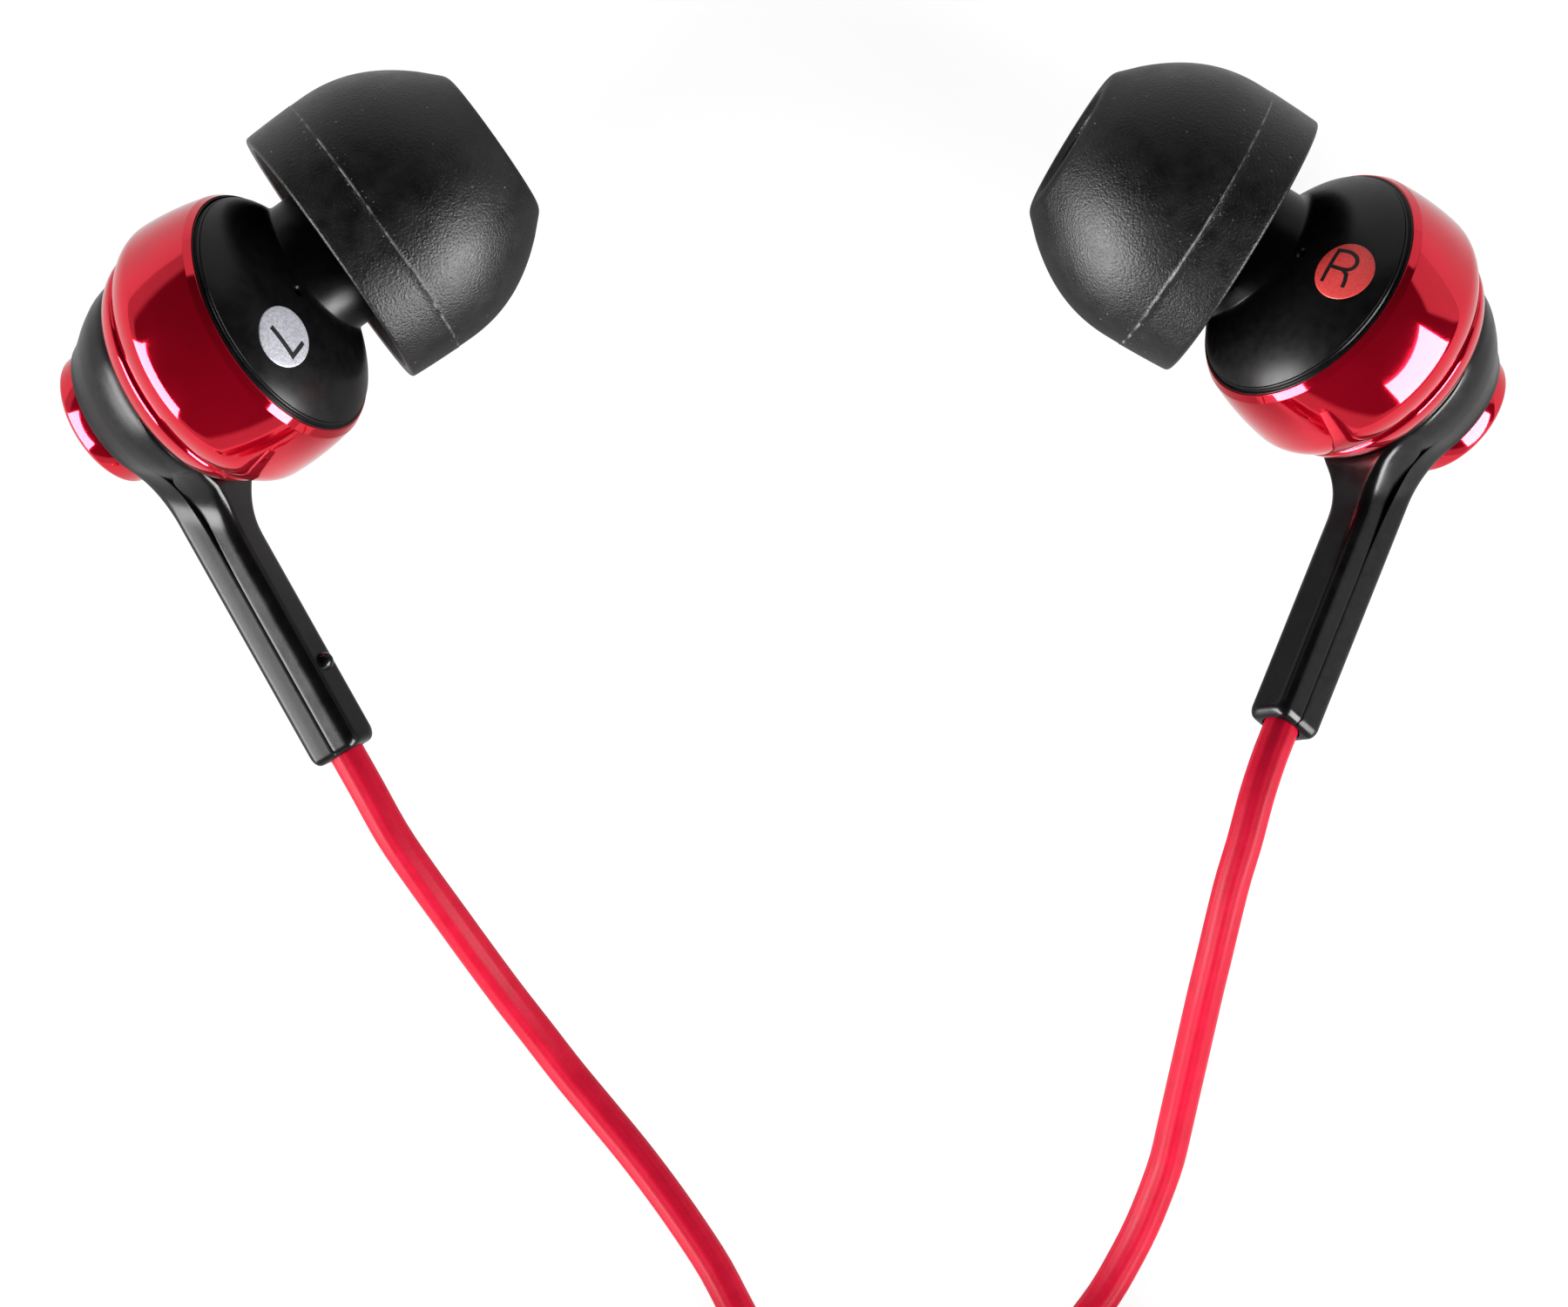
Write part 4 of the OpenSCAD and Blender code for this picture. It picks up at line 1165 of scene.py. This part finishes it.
def contact(outline):
    return moved(turned(rounded(outline, 4), 96), Matrix.Translation((GRIP_LEN, 0, 0)))


def plug_contacts():
    """Sleeve, ring and tip, and the two insulators between them, each with fine chamfers."""
    soft = 0.05
    inner, bush, middle, core = 1.2, 0.95, 0.6, 0.35
    return {
        "plug_sleeve": ("gold_contact", [
            (inner, -6), (TAIL_R, -6), (TAIL_R, 0), (PIN_R, 0, soft), (PIN_R, 6.6, soft), (inner, 6.6),
        ]),
        "plug_rear_insulator": ("insulator", [
            (bush, -6), (inner, -6), (inner, 6.6), (PIN_R - 0.02, 6.6), (PIN_R - 0.02, 7.3), (bush, 7.3),
        ]),
        "plug_ring": ("gold_contact", [
            (middle, -6.6), (bush, -6.6), (bush, 7.3), (PIN_R, 7.3, soft), (PIN_R, 9.8, soft), (middle, 9.8),
        ]),
        "plug_front_insulator": ("insulator", [
            (core, -6.6), (middle, -6.6), (middle, 9.8), (PIN_R - 0.02, 9.8), (PIN_R - 0.02, 10.5),
            (core, 10.5),
        ]),
        "plug_tip": ("gold_contact", [
            (0, -7.2), (core, -7.2), (core, 10.5), (PIN_R, 10.5, soft), (1.25, 11.3, 0.1), (1.25, 11.6, 0.15),
            (1.65, 12.3, 0.15), (1.55, 12.8, 0.4), (0.5, 13.9, 0.35), (0, 14),
        ]),
    }


# ---------- the assembly ----------


def build_ear(side):
    left = side == "left"
    marker = f"marker_{side}"
    # Name of the piece, its bmesh, its slot and its crease
    pieces = [
        ("ear_tip", ear_tip(), "silicone", 50),
        ("front_cover", front_cover(), "satin_black", 30),
        ("side_marker", marker_disc(LEFT_MARKER_AT if left else RIGHT_MARKER_AT), marker, 60),
        ("barrel_ring", barrel_ring(), "candy_red", 40),
        ("rear_housing", rear_housing(), "satin_black", 30),
        ("stem_shell", stem_shell(left), "stem_black", 30),
        ("rear_cap", rear_cap(), "candy_red", 40),
    ]
    for name, bm, slot, crease in pieces:
        node = f"{side}_{name}"
        body = f"{side}_tip" if name == "ear_tip" else "pair"
        finished(f"{node}_skin", bm, SIDES[side], body, slot, [node], crease=crease)
    letter = letter_l() if left else letter_r()
    finished(f"{side}_marker_letter", letter, SIDES[side], "pair", marker, [], "printed_ink")


def build_cords():
    metres = Matrix.Scale(MM, 4)
    # Node, bmesh, place and slot of each hard piece on the cords
    fittings = [
        ("y_splitter", splitter(), metres, "red_rubber"),
        ("plug_strain_relief", strain_relief(), PLUG, "red_rubber"),
        ("plug_grip", plug_grip(), PLUG, "satin_black"),
    ]
    fittings += [(node, contact(outline), PLUG, slot) for node, (slot, outline) in plug_contacts().items()]
    for node, bm, place, slot in fittings:
        finished(f"{node}_skin", bm, place, "pair", slot, [node])
    left_coil = coil_turns(LEFT_COIL_AT, BRANCH_COIL_R, 29, -5.0805, BRANCH_D, 2, 0.78)
    right_coil = coil_turns(RIGHT_COIL_AT, BRANCH_COIL_R, 144.1, 5.1, BRANCH_D, 2, 0.78)
    main_coil = coil_turns(MAIN_COIL_AT, MAIN_COIL_R, 0, -12.25, MAIN_D, 4, 1.0)
    lay_cord(
        "left_cord", [LEFT_ROUTE, left_coil, LEFT_TAIL_ROUTE], BRANCH_D, 0.02,
    )
    lay_cord(
        "right_cord", [RIGHT_ROUTE, right_coil, RIGHT_TAIL_ROUTE], BRANCH_D, 0.02,
    )
    lay_cord(
        "main_cord", [MAIN_ROUTE, main_coil, MAIN_TAIL_ROUTE], MAIN_D, 0.022,
    )


def dress_inner_nodes():
    """Gives each inner solid that stays in the scene its own finish."""
    inner = {
        "nozzle_mesh": "mesh_steel", "driver_guard": "steel", "driver_frame": "driver_plastic",
        "diaphragm": "film", "voice_coil": "winding", "top_plate": "steel", "magnet": "magnet",
        "yoke": "steel", "rear_damper": "damper_felt", "terminal_board": "board",
        "leads": "lead_insulation", "cord_crimp": "crimp_brass",
    }
    for side in SIDES:
        for name, look in inner.items():
            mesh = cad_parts[f"{side}_{name}"].data
            mesh.materials.clear()
            mesh.materials.append(LOOKS[look])


# ---------- camera, floor and light ----------

CAMERA_AT = (0.000017, -0.01029, 0.6082)
CAMERA_LENS = 320.4
CAMERA_SENSOR = 36
# Strength of the world's light on matt surfaces, and the lamps' distance in metres
PLAIN_LEVEL = 0.35
LAMP_DISTANCE = 1.2


def set_camera():
    camera = bpy.data.cameras.new("camera")
    camera.lens = CAMERA_LENS
    camera.sensor_width = CAMERA_SENSOR
    camera.clip_start = 0.01
    camera.clip_end = 20
    holder = bpy.data.objects.new("camera", camera)
    holder.location = CAMERA_AT
    bpy.context.scene.collection.objects.link(holder)
    bpy.context.scene.camera = holder


# The floor's own glow, to the camera and in reflections, and the share of it that the painted shade patch
# leaves
FLOOR_SEEN = 0.87
FLOOR_MIRRORED = 0.56
SHADE_PATCH_SHARE = 0.12
# Painted shade: an oval patch between the earpieces where the floor's glow is darker, seen in reflections
# alone; it stands in for the floor's shade round the earpieces
SHADE_PATCH_AT = (0.0, 0.0)
SHADE_PATCH_HALF = (0.019, 0.036)


def add_floor():
    """A pale floor that stays white in view and keeps a faint shadow; its glow in reflections carries a patch
    of painted shade.
    """
    bm = bmesh.new()
    bmesh.ops.create_grid(bm, x_segments=1, y_segments=1, size=4)
    floor = loose_object(bm, "floor")
    look = bpy.data.materials.new("pale_floor")
    look.use_nodes = True
    tree = look.node_tree
    tree.nodes.clear()
    out = tree.nodes.new("ShaderNodeOutputMaterial")
    matt = add_node(tree, "ShaderNodeBsdfDiffuse", Color=(0.8, 0.8, 0.8, 1))
    faint = add_node(tree, "ShaderNodeBsdfDiffuse", Color=(0.16, 0.16, 0.16, 1))
    glow = add_node(tree, "ShaderNodeEmission", Color=(1, 1, 1, 1))
    both = tree.nodes.new("ShaderNodeAddShader")
    choice = tree.nodes.new("ShaderNodeMixShader")
    paths = tree.nodes.new("ShaderNodeLightPath")
    seen = math_node(tree, "MAXIMUM", paths.outputs["Is Camera Ray"], paths.outputs["Is Transmission Ray"])
    seen_or_mirrored = math_node(tree, "MAXIMUM", seen, paths.outputs["Is Glossy Ray"])
    spot = tree.nodes.new("ShaderNodeSeparateXYZ")
    tree.links.new(tree.nodes.new("ShaderNodeTexCoord").outputs["Object"], spot.inputs[0])
    squares = []
    for label, middle, half in zip("XY", SHADE_PATCH_AT, SHADE_PATCH_HALF):
        share = math_node(tree, "DIVIDE", math_node(tree, "SUBTRACT", spot.outputs[label], middle), half)
        squares.append(math_node(tree, "POWER", math_node(tree, "ABSOLUTE", share), 2.0))
    # Painted shade: inside the oval patch the floor's glow in reflections drops to a small share
    painted_shade = range_node(tree, math_node(tree, "ADD", *squares), 0.35, 1.2, SHADE_PATCH_SHARE, 1.0, smooth=True)
    mirrored = math_node(tree, "MULTIPLY", painted_shade, FLOOR_MIRRORED)
    level = tree.nodes.new("ShaderNodeMix")
    tree.links.new(seen, level.inputs[0])
    tree.links.new(mirrored, level.inputs[2])
    level.inputs[3].default_value = FLOOR_SEEN
    tree.links.new(level.outputs[0], glow.inputs["Strength"])
    tree.links.new(faint.outputs[0], both.inputs[0])
    tree.links.new(glow.outputs[0], both.inputs[1])
    tree.links.new(seen_or_mirrored, choice.inputs[0])
    tree.links.new(matt.outputs[0], choice.inputs[1])
    tree.links.new(both.outputs[0], choice.inputs[2])
    tree.links.new(choice.outputs[0], out.inputs["Surface"])
    floor.data.materials.append(look)


def compass_mask(tree, compass, centre, half, soft):
    """1 within half degrees of a compass direction and 0 beyond a soft edge."""
    away = math_node(tree, "SUBTRACT", compass, centre)
    turned_away = math_node(tree, "WRAP", away, 180.0)
    turned_away.node.inputs[2].default_value = -180.0
    away = math_node(tree, "ABSOLUTE", turned_away)
    return range_node(tree, away, half, half + soft, 1.0, 0.0, smooth=True)


def set_world():
    """A white studio: plain for the camera and for matt light, walls and a dark ceiling in reflections."""
    world = bpy.data.worlds.new("studio")
    bpy.context.scene.world = world
    world.use_nodes = True
    world.cycles.sampling_method = "NONE"
    tree = world.node_tree
    tree.nodes.clear()
    out = tree.nodes.new("ShaderNodeOutputWorld")
    direction = tree.nodes.new("ShaderNodeSeparateXYZ")
    tree.links.new(tree.nodes.new("ShaderNodeTexCoord").outputs["Generated"], direction.inputs[0])
    compass = math_node(tree, "ARCTAN2", direction.outputs["X"], direction.outputs["Y"])
    compass = math_node(tree, "DEGREES", compass)
    height = math_node(tree, "DEGREES", math_node(tree, "ARCSINE", direction.outputs["Z"]))
    # Walls: centre and half width on the compass, top in degrees, soft edge, brightness
    walls = [
        (7.5, 28.5, 29, 3, 0.95),
        (70.0, 16.0, 20, 3, 0.8),
        (-60.0, 30.0, 10, 6, 0.55),
        (180.0, 70.0, 8, 5, 0.6),
    ]
    total = None
    for centre, half, top, soft, strength in walls:
        across = compass_mask(tree, compass, centre, half, 3.0)
        upright = range_node(tree, height, top, top + soft, strength, 0.0, smooth=True)
        patch = math_node(tree, "MULTIPLY", across, upright)
        total = patch if total is None else math_node(tree, "MAXIMUM", total, patch)
    total = math_node(tree, "MAXIMUM", total, 0.012)
    paths = tree.nodes.new("ShaderNodeLightPath")
    mirrored = add_node(tree, "ShaderNodeBackground")
    tree.links.new(total, mirrored.inputs["Strength"])
    plain = add_node(tree, "ShaderNodeBackground", Strength=PLAIN_LEVEL)
    white = add_node(tree, "ShaderNodeBackground", Strength=1.0)
    first = tree.nodes.new("ShaderNodeMixShader")
    second = tree.nodes.new("ShaderNodeMixShader")
    tree.links.new(paths.outputs["Is Glossy Ray"], first.inputs[0])
    tree.links.new(plain.outputs[0], first.inputs[1])
    tree.links.new(mirrored.outputs[0], first.inputs[2])
    tree.links.new(paths.outputs["Is Camera Ray"], second.inputs[0])
    tree.links.new(first.outputs[0], second.inputs[1])
    tree.links.new(white.outputs[0], second.inputs[2])
    tree.links.new(second.outputs[0], out.inputs["Surface"])


def add_softbox(name, compass, height, wide, high, brightness):
    """A rectangular lamp at a compass direction and height in degrees, that faces the part."""
    yaw, pitch = math.radians(compass), math.radians(height)
    direction = Vector((math.sin(yaw) * math.cos(pitch), math.cos(yaw) * math.cos(pitch), math.sin(pitch)))
    lamp = bpy.data.lights.new(name, "AREA")
    lamp.shape = "RECTANGLE"
    lamp.size = 2 * LAMP_DISTANCE * math.tan(math.radians(wide / 2))
    lamp.size_y = 2 * LAMP_DISTANCE * math.tan(math.radians(high / 2))
    lamp.energy = brightness * math.pi * lamp.size * lamp.size_y
    holder = bpy.data.objects.new(name, lamp)
    holder.location = direction * LAMP_DISTANCE
    holder.rotation_euler = direction.to_track_quat("Z", "Y").to_euler()
    holder.visible_camera = False
    bpy.context.scene.collection.objects.link(holder)


def set_lights():
    add_softbox("right_softbox", 124, 20, 48, 22, 24)
    add_softbox("left_softbox", -116, 16, 52, 28, 20)


build_ear("left")
build_ear("right")
build_cords()
dress_inner_nodes()
bpy.context.scene.view_settings.view_transform = "Standard"
set_camera()
add_floor()
set_world()
set_lights()
